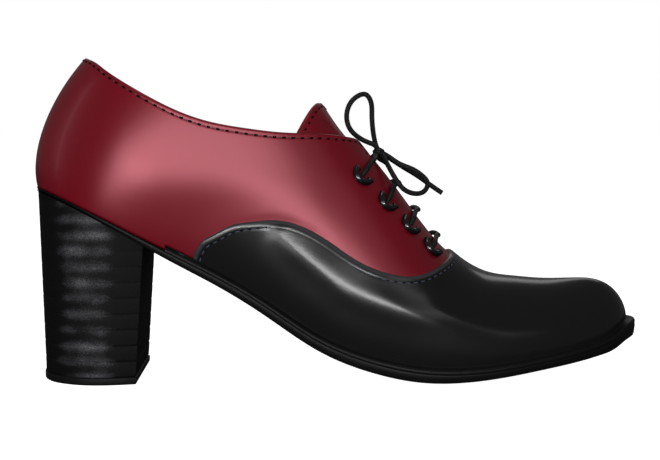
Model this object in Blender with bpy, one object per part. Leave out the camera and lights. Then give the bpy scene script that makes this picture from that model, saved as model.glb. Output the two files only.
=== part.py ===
"""Block heel shoe: a women's lace-up with patent quarters, a leather vamp and a stacked block heel.

It is the right shoe. +X runs to the toe, +Y to the inner side of the foot, +Z up. The origin is the
centre of the heel's floor face. Lengths are in metres.
"""

import functools
import math

import bmesh
import bpy
import numpy as np
from mathutils import Matrix

# Driving sizes of the last
LAST_LENGTH = 0.2440
SEAT_BACK = -0.0225
BALL_WIDTH = 0.0730
INSTEP_DEPTH = 0.0800
HEEL_HEIGHT = 0.0783
TOE_SPRING = 0.0150
BULGE_LEAN = 0.25
COLLAR_HEIGHT = 0.0600

# Leathers, sole and heel
CLEARANCE = 0.0003
UPPER_WALL = 0.0020
VAMP_WALL = 0.0012
TONGUE_WALL = 0.0016
INSOLE_THICKNESS = 0.0020
SOLE_THICKNESS = 0.0038
SOLE_CROWN = 0.0030
SOLE_DRAFT = 0.0005
EDGE_LIFT = 0.0018
SOLE_MARGIN = 0.0048
WELT_HEIGHT = 0.0024
WELT_EDGE = 0.0012
WELT_EASE = 0.0010
WELT_START_SHARE = 0.222
HEEL_LENGTH = 0.0388
HEEL_WIDTH = 0.0560
HEEL_BREAST_RAKE = 0.0050
HEEL_INSET = 0.0006
HEEL_HEAD = 1.05
TOP_PIECE_THICKNESS = 0.0030
TOP_PIECE_PROUD = 0.0005
LIFT_COUNT = 12
LIFT_GROOVE = 0.0003

# Throat, eyelets and lace
THROAT_HALF_GAP = 0.0055
THROAT_ROUND = 1.2
EYELET_HOLE = 0.0030
EYELET_WIRE = 0.0021
EYELET_LENGTH = 0.0070
EYELET_DEPTH = 0.0034
EYELET_RISE = 0.0010
EYELET_HALF_TURN = 115
LACE_DIAMETER = 0.0021
KNOT_RADIUS = 0.0023

# The last, a row for each rib from the middle of the back round to the middle of the toe. A rib runs
# from the feather line up to the ridge. at and top_at are shares of the last's length. outer, inner
# and top_y are shares of the ball width to either side, and so are the flares above the feather line
# and the shoulders beside the ridge. depth is the ridge above the seat in shares of the instep depth,
# lift the height of the lower bulge in shares of the rib, swing turns the shoulder towards the toe,
# and margin is the sole's edge in shares of the sole margin.
LAST_COLUMNS = (
    "at", "outer", "inner", "top_at", "top_y", "depth",
    "lift", "flare_out", "flare_in", "shoulder", "swing", "margin",
)
LAST_ROWS = (
    (0.000, 0.000, 0.000, 0.240, 0.000, 1.239, 0.352, 0.078, 0.078, 0.449, -90, 0.05),
    (0.013, 0.144, 0.144, 0.243, 0.000, 1.240, 0.350, 0.082, 0.082, 0.425, -64, 0.05),
    (0.048, 0.267, 0.267, 0.253, 0.000, 1.263, 0.345, 0.089, 0.089, 0.404, -38, 0.06),
    (0.105, 0.356, 0.349, 0.277, 0.000, 1.310, 0.335, 0.103, 0.103, 0.390, -15, 0.12),
    (0.179, 0.363, 0.342, 0.322, 0.000, 1.359, 0.330, 0.116, 0.116, 0.390, -4, 0.40),
    (0.261, 0.342, 0.308, 0.384, 0.000, 1.375, 0.330, 0.130, 0.130, 0.390, 0, 0.78),
    (0.343, 0.342, 0.295, 0.441, 0.000, 1.349, 0.330, 0.130, 0.130, 0.377, 0, 0.84),
    (0.425, 0.384, 0.329, 0.494, 0.000, 1.233, 0.330, 0.116, 0.130, 0.356, 0, 0.88),
    (0.507, 0.445, 0.397, 0.539, 0.002, 1.091, 0.330, 0.096, 0.116, 0.334, 0, 0.92),
    (0.580, 0.479, 0.466, 0.593, 0.005, 0.925, 0.340, 0.082, 0.096, 0.312, 0, 0.96),
    (0.646, 0.493, 0.507, 0.646, 0.010, 0.729, 0.350, 0.068, 0.075, 0.295, 0, 1.00),
    (0.707, 0.484, 0.514, 0.699, 0.020, 0.550, 0.360, 0.062, 0.055, 0.290, 0, 1.00),
    (0.769, 0.452, 0.484, 0.757, 0.030, 0.426, 0.370, 0.055, 0.041, 0.284, 0, 1.00),
    (0.830, 0.397, 0.432, 0.810, 0.038, 0.375, 0.370, 0.052, 0.038, 0.267, 2, 1.00),
    (0.888, 0.323, 0.370, 0.859, 0.043, 0.340, 0.350, 0.048, 0.038, 0.233, 10, 1.04),
    (0.937, 0.212, 0.281, 0.900, 0.048, 0.321, 0.320, 0.044, 0.038, 0.192, 28, 1.10),
    (0.976, 0.103, 0.212, 0.929, 0.050, 0.308, 0.270, 0.038, 0.036, 0.178, 58, 1.17),
    (1.000, -0.055, 0.055, 0.936, 0.052, 0.302, 0.230, 0.032, 0.032, 0.190, 90, 1.22),
)

# The seat under the foot: heel is a share of the heel's rise over the ball, toe of the toe spring,
# sole of the sole's thickness at its edge, and crown of how far the sole's middle lies lower.
SEAT_COLUMNS = ("at", "heel", "toe", "sole", "crown")
SEAT_ROWS = (
    (-0.020, 1.014, 0.000, 0.26, 0.00),
    (0.000, 1.000, 0.000, 0.26, 0.00),
    (0.105, 0.864, 0.000, 0.40, 0.00),
    (0.220, 0.665, 0.000, 0.78, 0.10),
    (0.302, 0.523, 0.000, 0.92, 0.35),
    (0.384, 0.361, 0.000, 1.06, 0.50),
    (0.466, 0.184, 0.000, 1.08, 0.70),
    (0.548, 0.073, 0.000, 1.08, 0.90),
    (0.630, 0.014, 0.000, 1.05, 1.00),
    (0.703, 0.000, 0.010, 0.92, 1.00),
    (0.802, 0.000, 0.147, 0.80, 0.80),
    (0.904, 0.000, 0.393, 0.85, 0.60),
    (0.945, 0.000, 0.507, 0.95, 0.50),
    (0.974, 0.000, 0.660, 1.10, 0.35),
    (1.000, 0.000, 0.905, 1.32, 0.15),
    (1.024, 0.000, 1.000, 1.56, 0.00),
)

# The collar's edge from the back to the corner of the facing, above the seat: rise on the outer side
# and drop, how much lower the inner side lies, both in shares of the collar height.
COLLAR_COLUMNS = ("at", "rise", "drop")
COLLAR_ROWS = (
    (0.0600, 1.035, 0.000),
    (0.0852, 0.998, 0.000),
    (0.1000, 1.002, 0.024),
    (0.1200, 0.988, 0.040),
    (0.1600, 0.967, 0.048),
    (0.2023, 0.960, 0.040),
    (0.2490, 0.965, 0.030),
    (0.2980, 1.002, 0.024),
    (0.3450, 1.073, 0.020),
    (0.3940, 1.172, 0.014),
    (0.4326, 1.267, 0.010),
    (0.4750, 1.365, 0.006),
    (0.5250, 1.427, 0.002),
    (0.5430, 1.420, 0.000),
    (0.5600, 1.350, 0.000),
    (0.5800, 1.290, 0.000),
)

# The vamp's upper edge, above the seat in shares of the instep depth.
VAMP_COLUMNS = ("at", "rise")
VAMP_ROWS = (
    (0.2700, 0.062),
    (0.2795, 0.123),
    (0.2960, 0.185),
    (0.3285, 0.291),
    (0.3600, 0.366),
    (0.3930, 0.439),
    (0.4250, 0.493),
    (0.4570, 0.516),
    (0.4895, 0.508),
    (0.5220, 0.478),
    (0.5555, 0.454),
    (0.5885, 0.445),
    (0.6220, 0.450),
    (0.6400, 0.463),
    (0.6580, 0.485),
    (0.6765, 0.512),
    (0.6880, 0.532),
)
THROAT_FOOT_SHARE = 0.6965
FACING_CORNER_SHARE = 0.550

# Where the collar's line gives way to the facing's, how far that line is taken from inside the
# facing's ends, and where the upper's mesh is split on the back rib, in shares.
COLLAR_END_SHARE = 0.575
FACING_CORNER_EASE = 0.030
FACING_FOOT_EASE = 0.040
BACK_SPLIT = 0.400

# The tongue, from under the vamp up to its tip. along is a share of the way, depth is how far its
# outer face lies under the last's surface in shares of the wall and clearance over it, and side is
# how far down the ribs its edges reach.
TONGUE_COLUMNS = ("along", "depth", "side")
TONGUE_ROWS = (
    (0.00, 1.40, 0.20),
    (0.45, 1.35, 0.24),
    (0.72, 1.55, 0.28),
    (0.86, 1.90, 0.34),
    (1.00, 1.80, 0.40),
)
TONGUE_FOOT_ROW = 11.6
TONGUE_TIP_ROW = 7.02
TONGUE_CORNER_ROW = 6.45

# The eyelets, a row for each pair from the top: at is the hole's place along the last, drop its depth
# under the facing's edge in shares of the instep depth, and lead how far the lace has run towards the
# toe where it crosses the ridge.
EYELET_COLUMNS = ("at", "drop", "lead")
EYELET_ROWS = (
    (0.5425, 0.204, 0.0345),
    (0.5838, 0.166, 0.0230),
    (0.6224, 0.127, 0.0170),
    (0.6596, 0.090, 0.0150),
)

# Half the heel's floor outline, from its back to its breast: along in shares of the heel's length and
# half in shares of its width.
HEEL_COLUMNS = ("along", "half")
HEEL_OUTLINE = (
    (0.000, 0.000), (0.012, 0.115), (0.050, 0.225), (0.120, 0.320), (0.240, 0.405),
    (0.420, 0.474), (0.620, 0.500), (0.820, 0.488), (1.000, 0.460),
)

# The knot's place along the last, and the routes of the bow, point by point from the knot, in
# millimetres from the ridge under it.
KNOT_SHARE = 0.5762
LOOP_UP_ROUTE = (
    (-1.4, -1.5, 6.9), (-4.3, -2.3, 8.3), (-8.7, -2.9, 10.6), (-12.0, -3.3, 13.9),
    (-13.4, -3.5, 18.8), (-12.0, -3.3, 24.2), (-8.7, -2.7, 27.4), (-5.6, -2.1, 28.1),
    (-3.4, -1.5, 25.4), (-2.8, -0.7, 20.1), (-2.3, 0.3, 13.5), (-0.9, 1.1, 7.0),
)
LOOP_FRONT_ROUTE = (
    (2.6, -0.8, 3.4), (8.8, -2.7, -0.6), (13.7, -3.5, -2.6), (17.3, -4.3, -4.9),
    (19.8, -6.8, -8.3), (17.8, -9.8, -11.8), (13.3, -12.3, -12.3), (9.0, -13.9, -10.2),
    (6.2, -13.5, -6.6), (3.5, -7.9, -1.2), (1.3, -2.6, 3.0),
)
END_LONG_ROUTE = (
    (2.0, 1.7, 3.5), (10.0, 1.6, -1.7), (15.8, 1.1, -5.2), (21.2, 0.6, -9.0),
    (26.7, 0.3, -12.8),
)
END_SHORT_ROUTE = ((0.3, 0.7, 1.7), (1.8, 1.9, 0.8), (3.3, 2.9, -0.2))
BAR_END_OUTER = (-1.3, -2.7, 3.2)
BAR_END_INNER = (-1.3, 2.1, 3.2)
KNOT_CENTRE = (0.0, -0.3, 4.6)

# Fineness of the facets
ROWS_UNDER_VAMP = 7
ROWS_ABOVE_VAMP = 5
RIBS_PER_ROW = 2
LEAST_RIB_GAP = 0.2
EXTRA_CORNER_RIBS = 4
TONGUE_LONG = 13
TONGUE_WIDE = 9
SOLE_COLUMNS = 7
INSOLE_COLUMNS = 5
SOLE_RIB_STEP = 0.4
INSOLE_RIB_STEP = 0.8
CUTTER_STEPS = 13
HOLE_SIDES = 10
KNOT_SEGMENTS = 10
KNOT_RINGS = 6
BAR_POINTS = 9
EYELET_POINTS = 9
EYELET_STEP = 1.1
CORD_STEP = 2.0
SCAN_STEPS = 61
HALVINGS = 22

MM = 0.001
TOE_ROW = len(LAST_ROWS) - 1
BALL_STACK = EDGE_LIFT + SOLE_THICKNESS + CLEARANCE


def remove_everything():
    for obj in list(bpy.data.objects):
        bpy.data.objects.remove(obj, do_unlink=True)


def natural_spline(at, values):
    """A smooth curve through the values at unevenly spaced places, straight beyond its ends."""
    at = np.array(at, float)
    values = np.array(values, float)
    gap = np.diff(at)
    count = len(at)
    matrix = np.eye(count)
    right = np.zeros(count)
    for i in range(1, count - 1):
        matrix[i, i - 1 : i + 2] = gap[i - 1], 2 * (gap[i - 1] + gap[i]), gap[i]
        slopes = (values[i + 1] - values[i]) / gap[i], (values[i] - values[i - 1]) / gap[i - 1]
        right[i] = 6 * (slopes[0] - slopes[1])
    bend = np.linalg.solve(matrix, right)

    def curve(x):
        x = np.asarray(x, float)
        inside = np.clip(x, at[0], at[-1])
        i = np.clip(np.searchsorted(at, inside, side="right") - 1, 0, count - 2)
        a = (at[i + 1] - inside) / gap[i]
        b = 1 - a
        value = a * values[i] + b * values[i + 1]
        value = value + ((a**3 - a) * bend[i] + (b**3 - b) * bend[i + 1]) * gap[i] ** 2 / 6
        slope = (values[i + 1] - values[i]) / gap[i]
        slope = slope + ((3 * b * b - 1) * bend[i + 1] - (3 * a * a - 1) * bend[i]) * gap[i] / 6
        return value + slope * (x - inside)

    return curve


def closed_spline(values):
    """A smooth closed curve through evenly spaced values, as a function of the row number."""
    values = np.array(values, float)
    count = len(values)
    matrix = np.eye(count) * 4 + np.roll(np.eye(count), 1, 0) + np.roll(np.eye(count), -1, 0)
    bend = np.linalg.solve(matrix, 6 * (np.roll(values, -1) - 2 * values + np.roll(values, 1)))

    def curve(u):
        u = np.asarray(u, float) % count
        i = np.floor(u).astype(int) % count
        j = (i + 1) % count
        b = u - np.floor(u)
        a = 1 - b
        return a * values[i] + b * values[j] + ((a**3 - a) * bend[i] + (b**3 - b) * bend[j]) / 6

    return curve


def column(columns, rows, name):
    place = columns.index(name)
    return [row[place] for row in rows]


def table_curve(columns, rows, name):
    return natural_spline(column(columns, rows, columns[0]), column(columns, rows, name))


def share_along(x):
    return (np.asarray(x, float) - SEAT_BACK) / LAST_LENGTH


def place_along(share):
    return SEAT_BACK + np.asarray(share, float) * LAST_LENGTH


SEAT_CURVES = {name: table_curve(SEAT_COLUMNS, SEAT_ROWS, name) for name in SEAT_COLUMNS[1:]}
COLLAR_CURVES = {name: table_curve(COLLAR_COLUMNS, COLLAR_ROWS, name) for name in COLLAR_COLUMNS[1:]}


def seat(x):
    """Height of the surface that the upper stands on, above the floor."""
    share = share_along(x)
    rise = (HEEL_HEIGHT - BALL_STACK) * SEAT_CURVES["heel"](share)
    return BALL_STACK + rise + TOE_SPRING * SEAT_CURVES["toe"](share)


def collar_height(x, inner=0.0):
    """Height of the collar's edge on the outer side, or on the inner side where inner is 1."""
    share = share_along(x)
    rise = COLLAR_CURVES["rise"](share) - COLLAR_CURVES["drop"](share) * inner
    return seat(x) + COLLAR_HEIGHT * rise


def rib_column(outer_name, inner_name=None, outer_sign=1):
    """One column of the last's table as a closed curve, round the outer side and back the inner."""
    outer = [outer_sign * value for value in column(LAST_COLUMNS, LAST_ROWS, outer_name)]
    inner = column(LAST_COLUMNS, LAST_ROWS, inner_name or outer_name)[1:-1]
    return closed_spline(outer + inner[::-1])


RIBS = {
    "at": rib_column("at"),
    "side": rib_column("outer", "inner", -1),
    "top_at": rib_column("top_at"),
    "top_y": rib_column("top_y"),
    "depth": rib_column("depth"),
    "lift": rib_column("lift"),
    "flare": rib_column("flare_out", "flare_in"),
    "shoulder": rib_column("shoulder"),
    "swing": rib_column("swing"),
    "margin": rib_column("margin"),
}


def side_sign(u):
    """-1 on the outer side of the foot and +1 on its inner side."""
    return np.where(np.asarray(u, float) % (2 * TOE_ROW) <= TOE_ROW, -1.0, 1.0)


def feather(u):
    """The feather line in plan, where the upper meets the sole."""
    return place_along(RIBS["at"](u)), BALL_WIDTH * RIBS["side"](u)


def outward(u):
    """The feather line's outward direction in plan."""
    step = 1e-3
    x_after, y_after = feather(np.asarray(u, float) + step)
    x_before, y_before = feather(np.asarray(u, float) - step)
    along_x, along_y = x_after - x_before, y_after - y_before
    length = np.hypot(along_x, along_y)
    return along_y / length, -along_x / length


def last_point(u, t):
    """The last's surface: u counts ribs round the foot, t runs from the feather line to the ridge."""
    u, t = np.broadcast_arrays(np.asarray(u, float), np.asarray(t, float))
    x0, y0 = feather(u)
    z0 = seat(x0)
    x3 = place_along(RIBS["top_at"](u))
    y3 = BALL_WIDTH * RIBS["top_y"](u)
    z3 = seat(x3) + INSTEP_DEPTH * RIBS["depth"](u)
    swing = np.radians(RIBS["swing"](u))
    normal_x, normal_y = outward(u)
    flare = BALL_WIDTH * RIBS["flare"](u)
    lean = BULGE_LEAN * np.cos(swing) ** 2 * (x3 - x0)
    x1 = x0 + flare * normal_x + lean
    y1 = y0 + flare * normal_y
    z1 = z0 + RIBS["lift"](u) * (z3 - z0)
    shoulder = BALL_WIDTH * RIBS["shoulder"](u)
    x2 = x3 + shoulder * np.sin(swing)
    y2 = y3 + shoulder * np.cos(swing) * side_sign(u)
    a, b, c, d = (1 - t) ** 3, 3 * (1 - t) ** 2 * t, 3 * (1 - t) * t**2, t**3
    x = a * x0 + b * x1 + c * x2 + d * x3
    y = a * y0 + b * y1 + c * y2 + d * y3
    z = a * z0 + b * z1 + c * z3 + d * z3
    return np.stack([x, y, z], axis=-1)


def last_normal(u, t):
    """The surface's outward direction."""
    u, t = np.broadcast_arrays(np.asarray(u, float), np.asarray(t, float))
    step = 2e-3
    t = np.minimum(t, 0.98)
    low, high = np.clip(t - step, 0, 1), t + step
    around = last_point(u + step, t) - last_point(u - step, t)
    upward = last_point(u, high) - last_point(u, low)
    normal = np.cross(around, upward)
    return normal / np.linalg.norm(normal, axis=-1, keepdims=True)


def layer_point(u, t, height):
    """A point that far outside the last's surface. On the feather line it stays on the seat."""
    point = last_point(u, t) + last_normal(u, t) * np.asarray(height, float)[..., None]
    u, t, height = np.broadcast_arrays(np.asarray(u, float), t, height)
    normal_x, normal_y = outward(u)
    x0, y0 = feather(u)
    x, y = x0 + normal_x * height, y0 + normal_y * height
    low = np.stack([x, y, seat(x)], axis=-1)
    return np.where((t <= 0)[..., None], low, point)


def crossing(test, low=0.0, high=1.0):
    """Where the test's value first rises past zero, found on a fine scan and then by halving."""
    scan = np.linspace(low, high, SCAN_STEPS)
    past = np.flatnonzero(test(scan) >= 0)
    if len(past) == 0:
        return high
    if past[0] == 0:
        return low
    a, b = scan[past[0] - 1], scan[past[0]]
    for _ in range(HALVINGS):
        middle = (a + b) / 2
        if test(np.array([middle]))[0] >= 0:
            b = middle
        else:
            a = middle
    return (a + b) / 2


def throat_half_gap(x):
    """Half the opening between the facings, rounded off at its foot."""
    foot = place_along(THROAT_FOOT_SHARE)
    round_end = THROAT_ROUND * THROAT_HALF_GAP
    past = np.clip((x - (foot - round_end)) / round_end, 0, 1)
    return THROAT_HALF_GAP * np.sqrt(1 - past**2)


def top_of_rib(u):
    """How far up a rib the upper reaches: to the collar, to the facing, or to the vamp's ridge."""

    inner = (side_sign(u) + 1) / 2

    def test(t):
        x, y, z = np.moveaxis(last_point(np.full_like(t, u), t), -1, 0)
        share = share_along(x)
        over_collar = np.where(share > COLLAR_END_SHARE, -1.0, z - collar_height(x, inner))
        from_ridge = np.abs(y - BALL_WIDTH * RIBS["top_y"](u))
        in_throat = throat_half_gap(x) - from_ridge
        in_throat = np.where(share < FACING_CORNER_SHARE - FACING_CORNER_EASE, -1.0, in_throat)
        in_throat = np.where(share >= THROAT_FOOT_SHARE, -1.0, in_throat)
        return np.maximum(over_collar, in_throat)

    return crossing(test)


def rib_at(x, z):
    """The rib and the place on it that the outer side shows at this x and z."""

    def height_on(u):
        return crossing(lambda t: last_point(np.full_like(t, u), t)[:, 2] - z)

    a, b = 0.0, float(TOE_ROW)
    for _ in range(HALVINGS):
        u = (a + b) / 2
        if last_point(u, height_on(u))[0] < x:
            a = u
        else:
            b = u
    return (a + b) / 2, height_on((a + b) / 2)


def make_material(name, colour, roughness, metallic=0.0):
    material = bpy.data.materials.new(name)
    material.use_nodes = True
    shader = material.node_tree.nodes["Principled BSDF"]
    shader.inputs["Base Color"].default_value = (*colour, 1.0)
    shader.inputs["Roughness"].default_value = roughness
    shader.inputs["Metallic"].default_value = metallic
    return material


def make_collection(name, helper=False):
    collection = bpy.data.collections.new(name)
    bpy.context.scene.collection.children.link(collection)
    collection.hide_render = helper
    return collection


def add_object(name, mesh, material, collection, sharp=35):
    if material:
        mesh.materials.clear()
        mesh.materials.append(material)
    mesh.shade_smooth()
    mesh.set_sharp_from_angle(angle=math.radians(sharp))
    obj = bpy.data.objects.new(name, mesh)
    collection.objects.link(obj)
    return obj


def mesh_from(name, points, faces, merge=2e-6):
    """A mesh of these faces, with points that meet made one and all faces turned outwards."""
    mesh = bpy.data.meshes.new(name)
    mesh.from_pydata([tuple(p) for p in points], [], faces)
    work = bmesh.new()
    work.from_mesh(mesh)
    bmesh.ops.remove_doubles(work, verts=work.verts, dist=merge)
    bmesh.ops.dissolve_degenerate(work, edges=work.edges, dist=merge / 2)
    bmesh.ops.recalc_face_normals(work, faces=work.faces)
    if work.calc_volume(signed=True) < 0:
        bmesh.ops.reverse_faces(work, faces=work.faces)
    work.to_mesh(mesh)
    work.free()
    return mesh


def close_sheet(name, outer, inner, faces):
    """A solid between two skins of the same faces, closed by a rim along every open edge."""
    count = len(outer)
    faces = [(face[0], *face[k : k + 2]) for face in faces for k in range(1, len(face) - 1)]
    uses = {}
    for face in faces:
        for a, b in zip(face, face[1:] + face[:1]):
            uses.setdefault(frozenset((a, b)), []).append((a, b))
    rim = [edges[0] for edges in uses.values() if len(edges) == 1]
    solid = list(faces)
    solid += [tuple(i + count for i in reversed(face)) for face in faces]
    solid += [(b, a, a + count, b + count) for a, b in rim]
    return mesh_from(name, np.concatenate([outer, inner]), solid)


def grid_faces(rows, columns, index, base=None):
    """The quads of a grid of points, leaving out corners that the index makes one.

    With the base points given, each quad starts at an end of its shorter diagonal.
    """
    faces = []
    for i in range(rows - 1):
        for j in range(columns - 1):
            corners = [(i, j), (i + 1, j), (i + 1, j + 1), (i, j + 1)]
            if base is not None:
                first = np.linalg.norm(base[corners[0]] - base[corners[2]])
                second = np.linalg.norm(base[corners[1]] - base[corners[3]])
                if second < first:
                    corners = corners[1:] + corners[:1]
            face = tuple(dict.fromkeys(int(index[corner]) for corner in corners))
            if len(face) > 2:
                faces.append(face)
    return faces


def merged_skins(base, skins, merge=1e-5):
    """Numbers for a grid's points, one for those that coincide, and each skin's points by number."""
    keys = np.round(base.reshape(-1, 3) / merge).astype(int)
    _, index = np.unique(keys, axis=0, return_inverse=True)
    index = index.reshape(-1)
    merged = []
    for skin in skins:
        total = np.zeros((index.max() + 1, 3))
        np.add.at(total, index, skin.reshape(-1, 3))
        merged.append(total / np.bincount(index)[:, None])
    return index.reshape(base.shape[:2]), merged


@functools.cache
def rib_plan():
    """The ribs of the outer side, each with the vamp's edge and the upper's top on it."""
    edge = table_curve(VAMP_COLUMNS, VAMP_ROWS, "rise")
    crossed = []
    for share, _ in VAMP_ROWS:
        x = float(place_along(share))
        crossed.append(rib_at(x, float(seat(x) + INSTEP_DEPTH * edge(share))))
    first_rib, first_edge = crossed[0]
    edge_ribs, edge_places = zip(*crossed)
    plan = []
    for part in range(math.ceil(first_rib * RIBS_PER_ROW)):
        u = part / RIBS_PER_ROW
        if u < first_rib - LEAST_RIB_GAP:
            split = first_edge + (BACK_SPLIT - first_edge) * (first_rib - u) / first_rib
            plan.append((u, split, top_of_rib(u)))
    corner = ridge_rib(place_along(FACING_CORNER_SHARE))
    spacing = 1.0 / (RIBS_PER_ROW * 2)
    extra = [corner + spacing * (k - EXTRA_CORNER_RIBS / 2) for k in range(EXTRA_CORNER_RIBS)]
    extra = [u for u in extra if min(abs(u - other) for other in edge_ribs) > spacing / 2]
    for u in sorted(list(edge_ribs) + extra):
        top = top_of_rib(u)
        plan.append((u, min(float(np.interp(u, edge_ribs, edge_places)), top), top))
    foot = ridge_rib(place_along(THROAT_FOOT_SHARE))
    count = math.ceil((TOE_ROW - foot) * RIBS_PER_ROW)
    for u in np.linspace(foot, TOE_ROW, count + 1):
        plan.append((float(u), 1.0, 1.0))
    return len([row for row in plan if row[0] < first_rib - 1e-6]), tuple(plan)


def both_sides(rows):
    """The outer side's ribs and then the inner side's, back from the toe."""
    inner = []
    for u, split, top in rows[:-1]:
        if top < 1:
            top = top_of_rib(2 * TOE_ROW - u)
        inner.append((2 * TOE_ROW - u, min(split, top), top))
    return list(rows) + inner[::-1]


def leather(name, ribs, rows_over, outside, inside):
    """A sheet between two heights over the last, from the seat up to each rib's split or top."""
    u = np.array([row[0] for row in ribs])[:, None]
    split = np.array([row[1] for row in ribs])[:, None]
    top = np.array([row[2] for row in ribs])[:, None]
    t = np.linspace(0, 1, ROWS_UNDER_VAMP + 1) * split
    if rows_over:
        over = split + (top - split) * np.linspace(0, 1, rows_over + 1)[1:]
        t = np.hstack([t, over])
    u = np.repeat(u, t.shape[1], axis=1)
    skins = [layer_point(u, t, np.full(u.shape, height)) for height in (outside, inside)]
    base = last_point(u, t)
    index, (outer, inner) = merged_skins(base, skins)
    return close_sheet(name, outer, inner, grid_faces(*u.shape, index, base))


def upper_mesh():
    _, plan = rib_plan()
    ribs = both_sides(plan)
    return leather("upper", ribs, ROWS_ABOVE_VAMP, 0.0, -UPPER_WALL)


def vamp_mesh():
    first, plan = rib_plan()
    return leather("vamp", both_sides(plan[first:]), 0, CLEARANCE + VAMP_WALL, CLEARANCE)


def build_upper(parts, cutters):
    red = make_material("red_patent", (0.16, 0.006, 0.016), 0.12)
    upper = add_object("upper", upper_mesh(), red, parts)
    for number, (u, t) in enumerate(eyelet_places(), 1):
        for side, rib in (("outer", u), ("inner", 2 * TOE_ROW - u)):
            cutter = hole_cutter(f"hole_{side}_{number}", rib, t, cutters)
            cut = upper.modifiers.new(cutter.name, "BOOLEAN")
            cut.operation = "DIFFERENCE"
            cut.object = cutter
    return upper


def build_vamp(parts):
    black = make_material("black_leather", (0.012, 0.012, 0.013), 0.32)
    return add_object("vamp", vamp_mesh(), black, parts)


@functools.cache
def eyelet_places():
    """The rib and the place on it of each eyelet's hole."""
    edge = facing_edge()
    places = []
    shares = column(EYELET_COLUMNS, EYELET_ROWS, "at")
    drops = column(EYELET_COLUMNS, EYELET_ROWS, "drop")
    for share, drop in zip(shares, drops):
        x = float(place_along(share))
        places.append(rib_at(x, float(edge(x)) - drop * INSTEP_DEPTH))
    return places


def facing_edge():
    """The height of the facing's line over x, straight on past the collar's corner."""
    corner = float(place_along(FACING_CORNER_SHARE + FACING_CORNER_EASE))
    foot = float(place_along(THROAT_FOOT_SHARE - FACING_FOOT_EASE))
    high, low = (float(last_point(ridge_rib(x), 1.0)[2]) for x in (corner, foot))
    slope = (low - high) / (foot - corner)
    return lambda x: high + slope * (x - corner)


def ridge_rib(x):
    """The rib whose top lies at this x."""
    return crossing(lambda u: place_along(RIBS["top_at"](u)) - x, 3.0, float(TOE_ROW))


def frame_at(u, t):
    """A place by the throat with three directions: along the eyelets, down from them, outwards."""
    point, normal = last_point(u, t), last_normal(u, t)
    places = eyelet_places()
    run = last_point(*places[-1]) - last_point(*places[0])
    run[1] *= -side_sign(u)
    toe = run - normal * np.dot(run, normal)
    toe = toe / np.linalg.norm(toe)
    down = np.cross(toe, normal) * -side_sign(u)
    return point, toe, down, normal


def hole_cutter(name, u, t, cutters):
    point, toe, down, normal = frame_at(u, t)
    work = bmesh.new()
    bmesh.ops.create_cone(
        work, cap_ends=True, segments=HOLE_SIDES, radius1=EYELET_HOLE / 2, radius2=EYELET_HOLE / 2,
        depth=4 * UPPER_WALL,
    )
    mesh = bpy.data.meshes.new(name)
    work.to_mesh(mesh)
    work.free()
    cutter = bpy.data.objects.new(name, mesh)
    cutters.objects.link(cutter)
    cutter.matrix_world = placed(point, toe, np.cross(normal, toe), normal)
    cutter.hide_render = True
    cutter.display_type = "WIRE"
    return cutter


def placed(point, x_axis, y_axis, z_axis):
    matrix = Matrix.Identity(4)
    for column, axis in enumerate((x_axis, y_axis, z_axis, point)):
        for row in range(3):
            matrix[row][column] = float(axis[row])
    return matrix


def build_tongue(parts):
    """The tongue lies under the facings and rises past them to its tip."""
    red = make_material("red_tongue", (0.15, 0.006, 0.015), 0.2)
    long, wide = TONGUE_LONG, TONGUE_WIDE
    steps = np.linspace(0, 1, long)
    across = np.linspace(-1, 1, wide)
    depth = table_curve(TONGUE_COLUMNS, TONGUE_ROWS, "depth")
    side = table_curve(TONGUE_COLUMNS, TONGUE_ROWS, "side")
    v = np.repeat(steps[:, None], wide, axis=1)
    w = np.repeat(across[None, :], long, axis=0)
    end_row = TONGUE_TIP_ROW + (TONGUE_CORNER_ROW - TONGUE_TIP_ROW) * np.abs(w)
    u = TONGUE_FOOT_ROW + (end_row - TONGUE_FOOT_ROW) * v
    t = 1 - side(v) * np.abs(w)
    u = np.where(w > 0, 2 * TOE_ROW - u, u)
    under = (UPPER_WALL + CLEARANCE) * depth(v)
    index = np.arange(long * wide).reshape(long, wide)
    faces = grid_faces(long, wide, index)
    outer = layer_point(u, t, -under).reshape(-1, 3)
    inner = layer_point(u, t, -under - TONGUE_WALL).reshape(-1, 3)
    return add_object("tongue", close_sheet("tongue", outer, inner, faces), red, parts)


def sole_outline(u, margin):
    """The outline that lies this far outside the feather line."""
    x0, y0 = feather(u)
    normal_x, normal_y = outward(u)
    return x0 + normal_x * margin, y0 + normal_y * margin


def sole_stations(first, last, step):
    count = max(2, round((last - first) / step) + 1)
    return np.linspace(first, last, count)


def leaf_solid(name, outline, top, bottom, stations, columns, draft=0.0):
    """A slab whose outline is given for each rib, with its top and bottom as heights."""
    across = np.linspace(0, 1, columns)
    skins = []
    for height, inset in ((top, 0.0), (bottom, draft)):
        outer_x, outer_y = outline(stations, inset)
        inner_x, inner_y = outline(2 * TOE_ROW - stations, inset)
        x = outer_x[:, None] * (1 - across) + inner_x[:, None] * across
        y = outer_y[:, None] * (1 - across) + inner_y[:, None] * across
        middle = 1 - (2 * np.repeat(across[None, :], len(stations), axis=0) - 1) ** 2
        skins.append(np.stack([x, y, height(x, middle)], axis=-1))
    index, (upper, lower) = merged_skins(skins[0], skins)
    return close_sheet(name, upper, lower, grid_faces(len(stations), columns, index))


def sole_top(x, middle):
    return seat(x) - CLEARANCE + 0 * middle


def sole_bottom(x, middle):
    """The sole's underside: lower in the middle, and flat where it stands on the floor."""
    share = share_along(x)
    edge = seat(x) - CLEARANCE - SOLE_THICKNESS * SEAT_CURVES["sole"](share)
    return np.maximum(edge - SOLE_CROWN * SEAT_CURVES["crown"](share) * middle, 0.0)


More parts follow.
